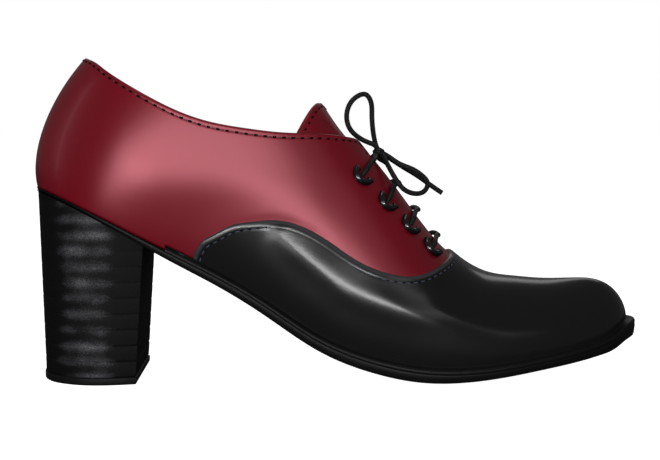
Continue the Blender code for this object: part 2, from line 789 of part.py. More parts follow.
def build_outsole(parts):
    black = make_material("black_sole", (0.008, 0.008, 0.009), 0.4)

    def outline(u, inset):
        return sole_outline(u, SOLE_MARGIN * RIBS["margin"](u) - inset)

    stations = sole_stations(0.0, TOE_ROW, SOLE_RIB_STEP)
    mesh = leaf_solid(
        "outsole", outline, sole_top, sole_bottom, stations, SOLE_COLUMNS, SOLE_DRAFT
    )
    return add_object("outsole", mesh, black, parts)


def build_insole(parts):
    tan = make_material("tan_insole", (0.45, 0.33, 0.22), 0.6)
    inset = UPPER_WALL + 2 * CLEARANCE

    def outline(u, extra):
        return sole_outline(u, -inset - extra)

    mesh = leaf_solid(
        "insole", outline, lambda x, m: seat(x) + INSOLE_THICKNESS + 0 * m,
        lambda x, m: seat(x) + 0 * m, sole_stations(0.0, TOE_ROW, INSOLE_RIB_STEP), INSOLE_COLUMNS,
    )
    return add_object("insole", mesh, tan, parts)


def build_welt(parts):
    """The welt is a strip on the sole's margin, sloping down from the upper to the edge."""
    black = make_material("black_welt", (0.009, 0.009, 0.01), 0.35)
    start = crossing(lambda u: RIBS["at"](u) - WELT_START_SHARE, 1.0, float(TOE_ROW))
    u = sole_stations(start, 2 * TOE_ROW - start, SOLE_RIB_STEP)
    inner = VAMP_WALL + 2 * CLEARANCE + WELT_EASE
    outer = SOLE_MARGIN * RIBS["margin"](u)
    section = ((inner, 0.0), (outer, 0.0), (outer, WELT_EDGE), (inner, WELT_HEIGHT))
    rings = []
    for margin, height in section:
        x, y = sole_outline(u, margin)
        rings.append(np.stack([x, y, seat(x) + height], axis=-1))
    points = np.stack(rings, axis=1)
    count = len(u)
    index = np.arange(count * 4).reshape(count, 4)
    looped = np.concatenate([index, index[:, :1]], axis=1)
    faces = grid_faces(count, 5, looped)
    faces += [tuple(int(i) for i in index[0]), tuple(int(i) for i in index[-1][::-1])]
    return add_object("welt", mesh_from("welt", points.reshape(-1, 3), faces), black, parts)


def heel_ring(height, proud=0.0):
    """The heel's outline at a height: half round at the back, straight across at the breast."""
    lift = height / HEEL_HEIGHT
    along = np.array(column(HEEL_COLUMNS, HEEL_OUTLINE, "along"))
    half = np.array(column(HEEL_COLUMNS, HEEL_OUTLINE, "half"))
    bottom_x = -HEEL_LENGTH / 2 - proud + along * (HEEL_LENGTH + 2 * proud)
    bottom_y = half * (HEEL_WIDTH + 2 * proud)
    back = SEAT_BACK + HEEL_INSET
    top_length = HEEL_LENGTH / 2 + HEEL_BREAST_RAKE - back
    top_x = back + along * top_length
    top_y = half * (HEEL_WIDTH - 2 * HEEL_INSET)
    x = bottom_x * (1 - lift) + top_x * lift
    y = bottom_y * (1 - lift) + top_y * lift
    outer = np.stack([x, -y], axis=-1)
    inner = np.stack([x, y], axis=-1)[1:]
    return np.concatenate([outer[::-1], inner])


def rings_mesh(name, rings):
    """A solid through closed rings of equally many points, capped at both ends."""
    count = len(rings[0])
    points = np.concatenate(rings)
    index = np.arange(len(rings) * count).reshape(len(rings), count)
    looped = np.concatenate([index, index[:, :1]], axis=1)
    faces = grid_faces(len(rings), count + 1, looped)
    faces += [tuple(int(i) for i in index[0]), tuple(int(i) for i in index[-1][::-1])]
    return mesh_from(name, points, faces)


def ring_at(height, proud=0.0):
    flat = heel_ring(height, proud)
    return np.column_stack([flat, np.full(len(flat), height)])


def build_heel(parts, cutters):
    """The heel is a stack of lifts with a fine groove between each two, cut to the sole above."""
    dark = make_material("stacked_heel", (0.014, 0.013, 0.013), 0.5)
    foot = TOP_PIECE_THICKNESS + CLEARANCE
    head = HEEL_HEIGHT * HEEL_HEAD
    pitch = (HEEL_HEIGHT - foot) / LIFT_COUNT
    rings = [ring_at(foot)]
    for lift in range(1, LIFT_COUNT + 1):
        joint = foot + lift * pitch
        rings.append(ring_at(joint - LIFT_GROOVE))
        rings.append(ring_at(joint, -LIFT_GROOVE))
        rings.append(ring_at(joint + LIFT_GROOVE))
    rings.append(ring_at(head))
    heel = add_object("heel", rings_mesh("heel", rings), dark, parts)
    cut = heel.modifiers.new("sole_seat", "BOOLEAN")
    cut.operation = "DIFFERENCE"
    cut.object = seat_cutter(cutters)
    return heel


def seat_cutter(cutters):
    """What lies over the heel: everything above the sole's underside, less the clearance."""
    x = np.linspace(SEAT_BACK - HEEL_LENGTH / 4, HEEL_LENGTH, CUTTER_STEPS)
    under = sole_bottom(x, 0.0) - CLEARANCE
    over = 2 * HEEL_HEIGHT
    side = BALL_WIDTH
    points, faces = [], []
    for i, (place, height) in enumerate(zip(x, under)):
        points += [(place, -side, height), (place, side, height)]
        points += [(place, side, over), (place, -side, over)]
        if i:
            a, b = 4 * (i - 1), 4 * i
            faces += [(a + k, a + (k + 1) % 4, b + (k + 1) % 4, b + k) for k in range(4)]
    faces += [(0, 1, 2, 3), tuple(4 * (len(x) - 1) + k for k in (3, 2, 1, 0))]
    cutter = bpy.data.objects.new("seat_cutter", mesh_from("seat_cutter", points, faces))
    cutters.objects.link(cutter)
    cutter.hide_render = True
    cutter.display_type = "WIRE"
    return cutter


def build_top_piece(parts):
    rubber = make_material("top_piece", (0.01, 0.01, 0.01), 0.6)
    rings = [ring_at(0.0, TOP_PIECE_PROUD), ring_at(TOP_PIECE_THICKNESS, TOP_PIECE_PROUD)]
    return add_object("heel_top_piece", rings_mesh("heel_top_piece", rings), rubber, parts)


def cord_object(name, route, diameter, material, parts, spacing=CORD_STEP):
    """A round cord along a smooth curve through the route's points."""
    route = np.array(route, float)
    along = np.concatenate([[0], np.cumsum(np.linalg.norm(np.diff(route, axis=0), axis=1))])
    count = max(3, round(along[-1] / (spacing * diameter)) + 1)
    places = np.linspace(0, along[-1], count)
    line = np.stack([natural_spline(along, route[:, k])(places) for k in range(3)], axis=1)
    data = bpy.data.curves.new(name, "CURVE")
    data.dimensions = "3D"
    data.bevel_depth = diameter / 2
    data.bevel_resolution = 2
    data.use_fill_caps = True
    spline = data.splines.new("POLY")
    spline.points.add(count - 1)
    for point, place in zip(spline.points, line):
        point.co = (*place, 1.0)
    data.materials.append(material)
    obj = bpy.data.objects.new(name, data)
    parts.objects.link(obj)
    return obj


def build_eyelets(parts):
    """Each eyelet is a bent wire round the outer side of its hole, open towards the throat."""
    black = make_material("black_eyelet", (0.01, 0.01, 0.01), 0.15, 0.3)
    for number, (place, t) in enumerate(eyelet_places(), 1):
        for side, u in (("outer", place), ("inner", 2 * TOE_ROW - place)):
            point, toe, down, normal = frame_at(u, t)
            turn = np.linspace(-EYELET_HALF_TURN, EYELET_HALF_TURN, EYELET_POINTS)
            route = []
            for angle in np.radians(turn):
                along = EYELET_LENGTH / 2 * math.sin(angle)
                away = EYELET_DEPTH * math.cos(angle) - EYELET_RISE
                over = EYELET_WIRE / 2 + 2 * CLEARANCE
                route.append(point + along * toe + away * down + over * normal)
            name = f"eyelet_{side}_{number}"
            cord_object(name, route, EYELET_WIRE, black, parts, spacing=EYELET_STEP)


def bar_route(number):
    """A lace's run from the outer hole over the ridge to the inner hole, just off the leather."""
    u, t = eyelet_places()[number]
    lead = column(EYELET_COLUMNS, EYELET_ROWS, "lead")[number]
    top = ridge_rib(float(last_point(u, t)[0]) + lead * LAST_LENGTH)
    height = LACE_DIAMETER / 2 + 2 * CLEARANCE
    steps = np.linspace(0, 1, BAR_POINTS)
    ribs, places = u + (top - u) * steps, t + (1 - t) * steps
    outer = layer_point(ribs, places, np.full(BAR_POINTS, height))
    inner = layer_point(2 * TOE_ROW - ribs, places, np.full(BAR_POINTS, height))
    return list(outer) + list(inner[-2::-1])


def bow_points(route):
    """The route's points, moved to the ridge under the knot."""
    under = last_point(ridge_rib(float(place_along(KNOT_SHARE))), 1.0)
    return under + np.array(route) * MM


def build_lace(parts):
    black = make_material("black_lace", (0.012, 0.012, 0.012), 0.6)
    for number in range(1, len(EYELET_ROWS)):
        cord_object(f"lace_bar_{number + 1}", bar_route(number), LACE_DIAMETER, black, parts)
    whole = bar_route(0)
    halfway = BAR_POINTS // 2 + 1
    sides = (("outer", whole[:halfway], BAR_END_OUTER), ("inner", whole[::-1][:halfway], BAR_END_INNER))
    for side, rise, end in sides:
        route = rise + list(bow_points([end]))
        cord_object(f"lace_bar_1_{side}", route, LACE_DIAMETER, black, parts)
    routes = {
        "lace_loop_up": LOOP_UP_ROUTE,
        "lace_loop_front": LOOP_FRONT_ROUTE,
        "lace_end_long": END_LONG_ROUTE,
        "lace_end_short": END_SHORT_ROUTE,
    }
    for name, route in routes.items():
        cord_object(name, bow_points(route), LACE_DIAMETER, black, parts)
    build_knot(black, parts)


def build_knot(material, parts):
    work = bmesh.new()
    bmesh.ops.create_uvsphere(work, u_segments=KNOT_SEGMENTS, v_segments=KNOT_RINGS, radius=KNOT_RADIUS)
    mesh = bpy.data.meshes.new("lace_knot")
    work.to_mesh(mesh)
    work.free()
    knot = add_object("lace_knot", mesh, material, parts, sharp=80)
    knot.location = bow_points([KNOT_CENTRE])[0]
    return knot


def main():
    remove_everything()
    parts = make_collection("block_heel_shoe")
    cutters = make_collection("cutters", helper=True)
    build_outsole(parts)
    build_insole(parts)
    build_welt(parts)
    build_heel(parts, cutters)
    build_top_piece(parts)
    build_upper(parts, cutters)
    build_vamp(parts)
    build_tongue(parts)
    build_eyelets(parts)
    build_lace(parts)


main()
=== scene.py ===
"""Looks of the block heel shoe: patent quarters, leather vamp, stacked heel, eyelets and a tied lace.

The surfaces come from the same last as the solids. Lengths are in metres unless a name says otherwise.
"""

import math

import bmesh
import bpy
import numpy as np
from mathutils import Matrix, Vector


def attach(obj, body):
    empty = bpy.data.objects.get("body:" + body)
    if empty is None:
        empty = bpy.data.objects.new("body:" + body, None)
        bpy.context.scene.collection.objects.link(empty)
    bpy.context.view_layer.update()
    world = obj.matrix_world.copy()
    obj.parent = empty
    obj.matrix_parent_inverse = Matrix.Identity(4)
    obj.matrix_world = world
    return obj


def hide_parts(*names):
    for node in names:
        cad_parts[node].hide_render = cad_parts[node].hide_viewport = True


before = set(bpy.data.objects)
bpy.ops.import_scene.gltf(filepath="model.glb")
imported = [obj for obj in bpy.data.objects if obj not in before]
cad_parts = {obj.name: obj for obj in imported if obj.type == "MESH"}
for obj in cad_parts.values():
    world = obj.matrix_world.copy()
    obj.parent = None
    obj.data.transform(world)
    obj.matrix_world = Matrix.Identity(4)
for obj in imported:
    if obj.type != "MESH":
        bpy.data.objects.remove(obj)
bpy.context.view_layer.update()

# Driving sizes of the last
LAST_LENGTH = 0.2440
SEAT_BACK = -0.0225
BALL_WIDTH = 0.0730
INSTEP_DEPTH = 0.0800
HEEL_HEIGHT = 0.0783
TOE_SPRING = 0.0150
BULGE_LEAN = 0.25
COLLAR_HEIGHT = 0.0600

# Leathers, sole and heel
CLEARANCE = 0.0003
UPPER_WALL = 0.0020
VAMP_WALL = 0.0012
TONGUE_WALL = 0.0016
SOLE_THICKNESS = 0.0038
SOLE_CROWN = 0.0030
SOLE_DRAFT = 0.0005
EDGE_LIFT = 0.0018
SOLE_MARGIN = 0.0048
WELT_HEIGHT = 0.0024
WELT_EDGE = 0.0012
WELT_START_SHARE = 0.222
HEEL_LENGTH = 0.0388
HEEL_WIDTH = 0.0560
HEEL_BREAST_RAKE = 0.0050
HEEL_INSET = 0.0006
TOP_PIECE_THICKNESS = 0.0030
TOP_PIECE_PROUD = 0.0005
LIFT_COUNT = 12
LIFT_GROOVE = 0.0003

# Throat, eyelets and lace
THROAT_HALF_GAP = 0.0055
THROAT_ROUND = 1.2
EYELET_HOLE = 0.0030
EYELET_WIRE = 0.0021
EYELET_LENGTH = 0.0070
EYELET_DEPTH = 0.0034
EYELET_RISE = 0.0010
EYELET_HALF_TURN = 115
LACE_DIAMETER = 0.0021

# The last, a row for each rib from the middle of the back round to the middle of the toe. A rib runs
# from the feather line up to the ridge. at and top_at are shares of the last's length. outer, inner
# and top_y are shares of the ball width to either side, and so are the flares above the feather line
# and the shoulders beside the ridge. depth is the ridge above the seat in shares of the instep depth,
# lift the height of the lower bulge in shares of the rib, swing turns the shoulder towards the toe,
# and margin is the sole's edge in shares of the sole margin.
LAST_COLUMNS = (
    "at", "outer", "inner", "top_at", "top_y", "depth",
    "lift", "flare_out", "flare_in", "shoulder", "swing", "margin",
)
LAST_ROWS = (
    (0.000, 0.000, 0.000, 0.240, 0.000, 1.239, 0.352, 0.078, 0.078, 0.449, -90, 0.05),
    (0.013, 0.144, 0.144, 0.243, 0.000, 1.240, 0.350, 0.082, 0.082, 0.425, -64, 0.05),
    (0.048, 0.267, 0.267, 0.253, 0.000, 1.263, 0.345, 0.089, 0.089, 0.404, -38, 0.06),
    (0.105, 0.356, 0.349, 0.277, 0.000, 1.310, 0.335, 0.103, 0.103, 0.390, -15, 0.12),
    (0.179, 0.363, 0.342, 0.322, 0.000, 1.359, 0.330, 0.116, 0.116, 0.390, -4, 0.40),
    (0.261, 0.342, 0.308, 0.384, 0.000, 1.375, 0.330, 0.130, 0.130, 0.390, 0, 0.78),
    (0.343, 0.342, 0.295, 0.441, 0.000, 1.349, 0.330, 0.130, 0.130, 0.377, 0, 0.84),
    (0.425, 0.384, 0.329, 0.494, 0.000, 1.233, 0.330, 0.116, 0.130, 0.356, 0, 0.88),
    (0.507, 0.445, 0.397, 0.539, 0.002, 1.091, 0.330, 0.096, 0.116, 0.334, 0, 0.92),
    (0.580, 0.479, 0.466, 0.593, 0.005, 0.925, 0.340, 0.082, 0.096, 0.312, 0, 0.96),
    (0.646, 0.493, 0.507, 0.646, 0.010, 0.729, 0.350, 0.068, 0.075, 0.295, 0, 1.00),
    (0.707, 0.484, 0.514, 0.699, 0.020, 0.550, 0.360, 0.062, 0.055, 0.290, 0, 1.00),
    (0.769, 0.452, 0.484, 0.757, 0.030, 0.426, 0.370, 0.055, 0.041, 0.284, 0, 1.00),
    (0.830, 0.397, 0.432, 0.810, 0.038, 0.375, 0.370, 0.052, 0.038, 0.267, 2, 1.00),
    (0.888, 0.323, 0.370, 0.859, 0.043, 0.340, 0.350, 0.048, 0.038, 0.233, 10, 1.04),
    (0.937, 0.212, 0.281, 0.900, 0.048, 0.321, 0.320, 0.044, 0.038, 0.192, 28, 1.10),
    (0.976, 0.103, 0.212, 0.929, 0.050, 0.308, 0.270, 0.038, 0.036, 0.178, 58, 1.17),
    (1.000, -0.055, 0.055, 0.936, 0.052, 0.302, 0.230, 0.032, 0.032, 0.190, 90, 1.22),
)

# The seat under the foot: heel is a share of the heel's rise over the ball, toe of the toe spring,
# sole of the sole's thickness at its edge, and crown of how far the sole's middle lies lower.
SEAT_COLUMNS = ("at", "heel", "toe", "sole", "crown")
SEAT_ROWS = (
    (-0.020, 1.014, 0.000, 0.26, 0.00),
    (0.000, 1.000, 0.000, 0.26, 0.00),
    (0.105, 0.864, 0.000, 0.40, 0.00),
    (0.220, 0.665, 0.000, 0.78, 0.10),
    (0.302, 0.523, 0.000, 0.92, 0.35),
    (0.384, 0.361, 0.000, 1.06, 0.50),
    (0.466, 0.184, 0.000, 1.08, 0.70),
    (0.548, 0.073, 0.000, 1.08, 0.90),
    (0.630, 0.014, 0.000, 1.05, 1.00),
    (0.703, 0.000, 0.010, 0.92, 1.00),
    (0.802, 0.000, 0.147, 0.80, 0.80),
    (0.904, 0.000, 0.393, 0.85, 0.60),
    (0.945, 0.000, 0.507, 0.95, 0.50),
    (0.974, 0.000, 0.660, 1.10, 0.35),
    (1.000, 0.000, 0.905, 1.32, 0.15),
    (1.024, 0.000, 1.000, 1.56, 0.00),
)

# The collar's edge from the back to the corner of the facing, above the seat: rise on the outer side
# and drop, how much lower the inner side lies, both in shares of the collar height.
COLLAR_COLUMNS = ("at", "rise", "drop")
COLLAR_ROWS = (
    (0.0600, 1.035, 0.000),
    (0.0852, 0.998, 0.000),
    (0.1000, 1.002, 0.024),
    (0.1200, 0.988, 0.040),
    (0.1600, 0.967, 0.048),
    (0.2023, 0.960, 0.040),
    (0.2490, 0.965, 0.030),
    (0.2980, 1.002, 0.024),
    (0.3450, 1.073, 0.020),
    (0.3940, 1.172, 0.014),
    (0.4326, 1.267, 0.010),
    (0.4750, 1.365, 0.006),
    (0.5250, 1.427, 0.002),
    (0.5430, 1.420, 0.000),
    (0.5600, 1.350, 0.000),
    (0.5800, 1.290, 0.000),
)

# The vamp's upper edge, above the seat in shares of the instep depth.
VAMP_COLUMNS = ("at", "rise")
VAMP_ROWS = (
    (0.2700, 0.062),
    (0.2795, 0.123),
    (0.2960, 0.185),
    (0.3285, 0.291),
    (0.3600, 0.366),
    (0.3930, 0.439),
    (0.4250, 0.493),
    (0.4570, 0.516),
    (0.4895, 0.508),
    (0.5220, 0.478),
    (0.5555, 0.454),
    (0.5885, 0.445),
    (0.6220, 0.450),
    (0.6400, 0.463),
    (0.6580, 0.485),
    (0.6765, 0.512),
    (0.6880, 0.532),
)
THROAT_FOOT_SHARE = 0.6965
FACING_CORNER_SHARE = 0.550

# Where the collar's line gives way to the facing's, and how far that line is taken from inside the
# facing's ends, in shares.
COLLAR_END_SHARE = 0.575
FACING_CORNER_EASE = 0.030
FACING_FOOT_EASE = 0.040

# The tongue, from under the vamp up to its tip. along is a share of the way, depth is how far its
# outer face lies under the last's surface in shares of the wall and clearance over it, and side is
# how far down the ribs its edges reach.
TONGUE_COLUMNS = ("along", "depth", "side")
TONGUE_ROWS = (
    (0.00, 1.40, 0.20),
    (0.45, 1.35, 0.24),
    (0.72, 1.55, 0.28),
    (0.86, 1.90, 0.34),
    (1.00, 1.80, 0.40),
)
TONGUE_FOOT_ROW = 11.6
TONGUE_TIP_ROW = 7.02
TONGUE_CORNER_ROW = 6.45

# The eyelets, a row for each pair from the top: at is the hole's place along the last, drop its depth
# under the facing's edge in shares of the instep depth, and lead how far the lace has run towards the
# toe where it crosses the ridge.
EYELET_COLUMNS = ("at", "drop", "lead")
EYELET_ROWS = (
    (0.5425, 0.204, 0.0345),
    (0.5838, 0.166, 0.0230),
    (0.6224, 0.127, 0.0170),
    (0.6596, 0.090, 0.0150),
)

# Half the heel's floor outline, from its back to its breast: along in shares of the heel's length and
# half in shares of its width.
HEEL_COLUMNS = ("along", "half")
HEEL_OUTLINE = (
    (0.000, 0.000), (0.012, 0.115), (0.050, 0.225), (0.120, 0.320), (0.240, 0.405),
    (0.420, 0.474), (0.620, 0.500), (0.820, 0.488), (1.000, 0.460),
)

# The knot's place along the last, and the routes of the bow, point by point from the knot, in
# millimetres from the ridge under it.
KNOT_SHARE = 0.5762
LOOP_UP_ROUTE = (
    (-1.4, -1.5, 6.9), (-4.3, -2.3, 8.3), (-8.7, -2.9, 10.6), (-12.0, -3.3, 13.9),
    (-13.4, -3.5, 18.8), (-12.0, -3.3, 24.2), (-8.7, -2.7, 27.4), (-5.6, -2.1, 28.1),
    (-3.4, -1.5, 25.4), (-2.8, -0.7, 20.1), (-2.3, 0.3, 13.5), (-0.9, 1.1, 7.0),
)
LOOP_FRONT_ROUTE = (
    (2.6, -0.8, 3.4), (8.8, -2.7, -0.6), (13.7, -3.5, -2.6), (17.3, -4.3, -4.9),
    (19.8, -6.8, -8.3), (17.8, -9.8, -11.8), (13.3, -12.3, -12.3), (9.0, -13.9, -10.2),
    (6.2, -13.5, -6.6), (3.5, -7.9, -1.2), (1.3, -2.6, 3.0),
)
END_LONG_ROUTE = (
    (2.0, 1.7, 3.5), (10.0, 1.6, -1.7), (15.8, 1.1, -5.2), (21.2, 0.6, -9.0),
    (26.7, 0.3, -12.8),
)
END_SHORT_ROUTE = ((0.3, 0.7, 1.7), (1.8, 1.9, 0.8), (3.3, 2.9, -0.2))
BAR_END_OUTER = (-1.3, -2.7, 3.2)
BAR_END_INNER = (-1.3, 2.1, 3.2)
KNOT_CENTRE = (0.0, -0.3, 4.6)

# The camera, in millimetres and degrees
CAMERA_TARGET = (97.954, 0.0, 59.538)
CAMERA_DISTANCE = 545.0
CAMERA_TURN = -2.0
CAMERA_RISE = 4.3
CAMERA_LENS = 71.345

# Fineness of the surfaces. EDGE_ROWS are distances under a top edge, in millimetres.
RIB_SPACING = 0.00125
CLOSE_SPACING = 0.0006
CLOSE_REACH = 0.008
EDGE_ROWS = (
    0.0, 0.1, 0.22, 0.36, 0.55, 0.8, 1.05, 1.3, 1.55, 1.8, 2.05, 2.3, 2.55, 2.8, 3.05, 3.3, 3.7,
    4.3, 5.2, 6.6,
)
EDGE_ROWS_LOWEST = 0.3
BODY_ROWS = 40
SCAN_STEPS = 481
LOWEST_NORMAL = 0.985
RIB_STEP = 0.001
NORMAL_STEP = 0.002
TOP_STEP = 0.02
RIDGE_STEPS = 1401
SPACING_STEPS = 1601
EDGE_STEPS = 401
EYELET_STEPS = 241
FIRST_TOP_RIB = 3.0
FIRST_EYELET_RIB = 5.0
TOUCHING = 1e-6
TONGUE_GRID = (161, 91)
SOLE_RIBS = 181
SOLE_ACROSS = 31
RIM_RIBS = 361
WELT_RIBS = 421
HEEL_POINTS = 49
BREAST_POINTS = 16
EYELET_POINTS = 57
HOLE_SIDES = 24
BAR_POINTS = 9
BAR_KEPT = 6
BRAID_GIRTH = 6.6
KNOT_POINTS = 90
REAR_POINTS = 12
LOWEST_STITCH = 0.02
STITCH_STATIONS = 7
STITCH_SIDES = 8
STITCH_END = 0.25
STITCH_SINK = 0.75
ROUTE_STEP = 0.0006

# Edges and stitch rows: how far in from the edge, and the groove that the threads lie in
TOPLINE_STITCH = 0.00235
TOPLINE_STITCH_BACK = 0.0017
TOPLINE_STITCH_SHARES = (0.10, 0.30)
TOPLINE_STITCH_END = FACING_CORNER_SHARE + 0.022
TOPLINE_GROOVE_FADE = 0.01
GROOVE_RUN_OUT = 0.002
VAMP_COVER = 0.02
VAMP_COVER_FADE = 0.03
VAMP_STITCH = 0.0029
TONGUE_STITCH = 0.0021
TONGUE_STITCH_SPARE = 3
GROOVE_DEPTH = 0.00008
GROOVE_WIDTH = 0.00040
THREAD_SUNK = 0.6
VAMP_GROOVE = 0.3
CUT_EDGE = 0.00045
BEVEL_REACH = 0.0024
VAMP_LAYERS = (0.10, 0.66, 0.24)
VAMP_INSIDE = 0.3

# The rows of thread, in millimetres: the pitch, a stitch's length, where the first one starts, how
# wide and how high it is
THREAD_ROWS = {
    "topline_stitches": (3.75, 1.8, 0.6, 0.88, 0.30),
    "topline_threads": (3.75, 1.9, 2.4, 0.44, 0.14),
    "vamp_threads": (3.3, 2.0, 0.4, 0.484, 0.20),
    "vamp_thread_gaps": (3.3, 1.1, 2.5, 0.792, 0.12),
    "tongue_stitches": (3.4, 1.4, 1.0, 0.88, 0.26),
}

# Eyelet wires: the girth of the wire, its turn, the beads at its ends and how deep it is set
EYELET_GIRTH = EYELET_WIRE * 1.33
EYELET_SWEEP = EYELET_HALF_TURN * 0.87
EYELET_BEAD = 0.16
EYELET_BEAD_REACH = 0.12
EYELET_TIP = 0.09
EYELET_THINNEST = 0.03
EYELET_SET = (0.34, 0.22)

# The painted shade in each hole, a black dish over the leather where the hole's dark mouth would be,
# as shares of its radius and heights in millimetres
HOLE_SHADE_DISH = ((1.0, 0.04), (0.88, 0.10), (0.7, 0.04), (0.0, 0.04))

# The knot's winding, with lengths in millimetres and angles in degrees
KNOT_AXIS = (0.55, 0.1, 0.83)
KNOT_TURN = (-40, 560)
KNOT_COIL = 1.25
KNOT_SPREAD = 1.0
KNOT_STRAND = LACE_DIAMETER * 0.46
LACE_BEHIND_HOLE = (3.0, 1.0)

# Rounded rims. Each row is a place down the rim and how far it is set in, in millimetres; places
# are shares of the rim's height on the sole and on a lift, and millimetres on the top piece.
SOLE_EDGE_SOFT = 0.0006
SOLE_RIM = (
    (0.0, 0.4), (0.08, 0.1), (0.2, 0.0), (0.5, 0.15), (0.8, 0.4), (0.93, 0.7), (1.0, 1.1),
)
LIFT_RIM = (
    (0.0, LIFT_GROOVE * 1000), (0.05, 0.08), (0.12, 0.0), (0.5, 0.0), (0.88, 0.0), (0.95, 0.08),
)
HEEL_UNDER_SOLE = 0.2
TOP_PIECE_RIM = ((0.0, 0.5), (0.2, 0.2), (0.6, 0.0), (2.4, 0.0), (2.8, 0.1), (3.0, 0.4))

# The welt's section past its lip: how far inside the outer rim and how far above its lower edge,
# in millimetres
WELT_STEPS = 801
WELT_LIP = 0.92
WELT_LIP_RIM = ((0.3, 0.1), (0.6, -0.2))
WELT_RIM = ((1.2, 0.3), (0.7, 0.1), (0.3, -0.2), (0.1, -0.6))
WELT_FOOT_INSET = 0.0001

# The soft ridge that runs down the vamp's outer side, in millimetres
VAMP_RIDGE = (
    (78.0, -29.0, 60.0), (85.0, -30.5, 54.0), (93.0, -32.0, 48.0), (104.5, -34.0, 39.0),
    (124.0, -35.0, 30.5), (140.0, -34.0, 26.5), (156.5, -31.5, 23.0), (176.0, -26.0, 19.5),
)
VAMP_RIDGE_SIZE = (0.00080, 0.0060)
VAMP_RIDGE_FADES = (0.064, 0.086, 0.138, 0.180)

# The soft ridge low on the quarters' outer side, above the dark hollow at the waist
QUARTER_RIDGE = (
    (0.0, -26.0, 87.0), (16.5, -29.5, 81.5), (30.5, -29.5, 80.0), (46.0, -29.5, 80.0),
    (61.5, -29.0, 78.5), (75.5, -29.0, 75.0), (87.0, -29.5, 69.0), (99.0, -30.5, 61.0),
    (106.0, -31.0, 56.0),
)
QUARTER_RIDGE_SIZE = (0.00060, 0.0110)
QUARTER_RIDGE_FADES = (0.008, 0.030, 0.088, 0.106)

# Colours, as linear shares of white
RED = (0.125, 0.0016, 0.0070)
RED_DARK = (0.108, 0.0013, 0.0058)
RED_SHEEN = (1.0, 0.36, 0.42, 1.0)
VAMP_BLACK = (0.0062, 0.0062, 0.0063)
# The vamp's cut edge: light grey, partly the raw edge's own tone and partly painted highlight. Over
# the bevel inside it: dark grey painted sheen.
CUT_EDGE_GREY_AND_HIGHLIGHT = (0.16, 0.16, 0.165)
BEVEL_SHEEN_GREY = (0.028, 0.028, 0.030)
SOLE_BLACK = (0.0040, 0.0040, 0.0042)
HEEL_BLACK = (0.0025, 0.0025, 0.0028)
HEEL_GREY = (0.030, 0.029, 0.032)
# The light grey of the heel's flecks, partly their own tone and partly painted highlight
HEEL_FLECK_AND_HIGHLIGHT = (0.085, 0.083, 0.090)
LACE_BLACK = (0.0030, 0.0030, 0.0031)
LACE_GREY = (0.014, 0.014, 0.015)
ENAMEL_BLACK = (0.002, 0.002, 0.002)
# Painted shade: the black of the eyelet holes' dark mouths
HOLE_SHADE_BLACK = (0.001, 0.001, 0.001)
LINING_CREAM = (0.66, 0.58, 0.47)
INSOLE_CREAM = (0.52, 0.42, 0.31)
THREAD_BLACK = (0.0012, 0.0012, 0.0012)
THREAD_BLUE = (0.040, 0.052, 0.085)
THREAD_RED = (0.09, 0.003, 0.008)
FLOOR_WHITE = (0.8, 0.8, 0.8)
WHITE = (1.0, 1.0, 1.0, 1.0)

# Gloss. The clear coat lies on the heel counter and has faded out at the second of COAT_ENDS.
PATENT_ROUGHNESS = 0.34
PATENT_SHINE = 0.74
COAT_ENDS = (0.000, 0.016)
COAT_SHARE = 0.045
COAT_ROUGHNESS = 0.06
COAT_IOR = 1.5
VAMP_ROUGHNESS = 0.18
VAMP_SHINE = 0.22
VAMP_GRAIN = 0.03
GLOSS_CHANGE = 0.12

# The vamp's tones from its cut edge inwards, as shares of the reach in metres. The light grey at the
# cut edge is partly the raw edge's own tone and partly painted highlight; the dark grey band over the
# bevel is painted sheen.
EDGE_SHEEN_REACH = 0.004
EDGE_TONES_AND_SHEEN = (
    (0.0, CUT_EDGE_GREY_AND_HIGHLIGHT), (0.10, CUT_EDGE_GREY_AND_HIGHLIGHT), (0.16, BEVEL_SHEEN_GREY), (0.50, BEVEL_SHEEN_GREY), (0.62, VAMP_BLACK),
    (1.0, VAMP_BLACK),
)

# Noise, as its scale and detail, and for the heel its roughness and stretch too. A bump is its
# strength and its depth in metres.
RED_CLOUD = (28.0, 4.0)
RED_GRAIN = (700.0, 2.0)
RED_GRAIN_BUMP = (0.025, 0.0005)
COAT_WAVES = (160.0, 2.0)
COAT_BUMP = (0.05, 0.0008)
GRAIN_SCALE = 1300.0
GRAIN_DEPTH = 0.0002
LEATHER_WAVES = (90.0, 4.0)
LEATHER_BUMP = (0.06, 0.0006)
GLOSS_CLOUD = (60.0, 5.0)
HEEL_FLECKS = (1500.0, 3.0, 0.75, (1.0, 1.0, 1.4))
HEEL_CLOUD = (70.0, 2.0, 0.5, (1.0, 1.0, 1.6))
HEEL_BUMP = (0.35, 0.0004)
BRAID_BUMP = (0.8, 0.00025)

# The lace's braid: its turn in degrees and how close its waves lie
BRAID_TURN = 38
BRAID_SCALE = 0.62

# The stacked heel's flecks: how they vary over a lift, and how they fade to its front and back. Both
# are painted highlight: the flecks are lighter in a band over each lift and dimmer towards the heel's
# front and back.
FLECK_HIGHLIGHT_BANDS = (1.15, 0.65)
FLECK_HIGHLIGHT_ENDS = (0.007, 0.015)
FLECK_HIGHLIGHT_FADE = (1.0, 0.2)
HEEL_TONES = ((0.15, HEEL_BLACK), (0.30, HEEL_GREY), (0.45, HEEL_FLECK_AND_HIGHLIGHT))

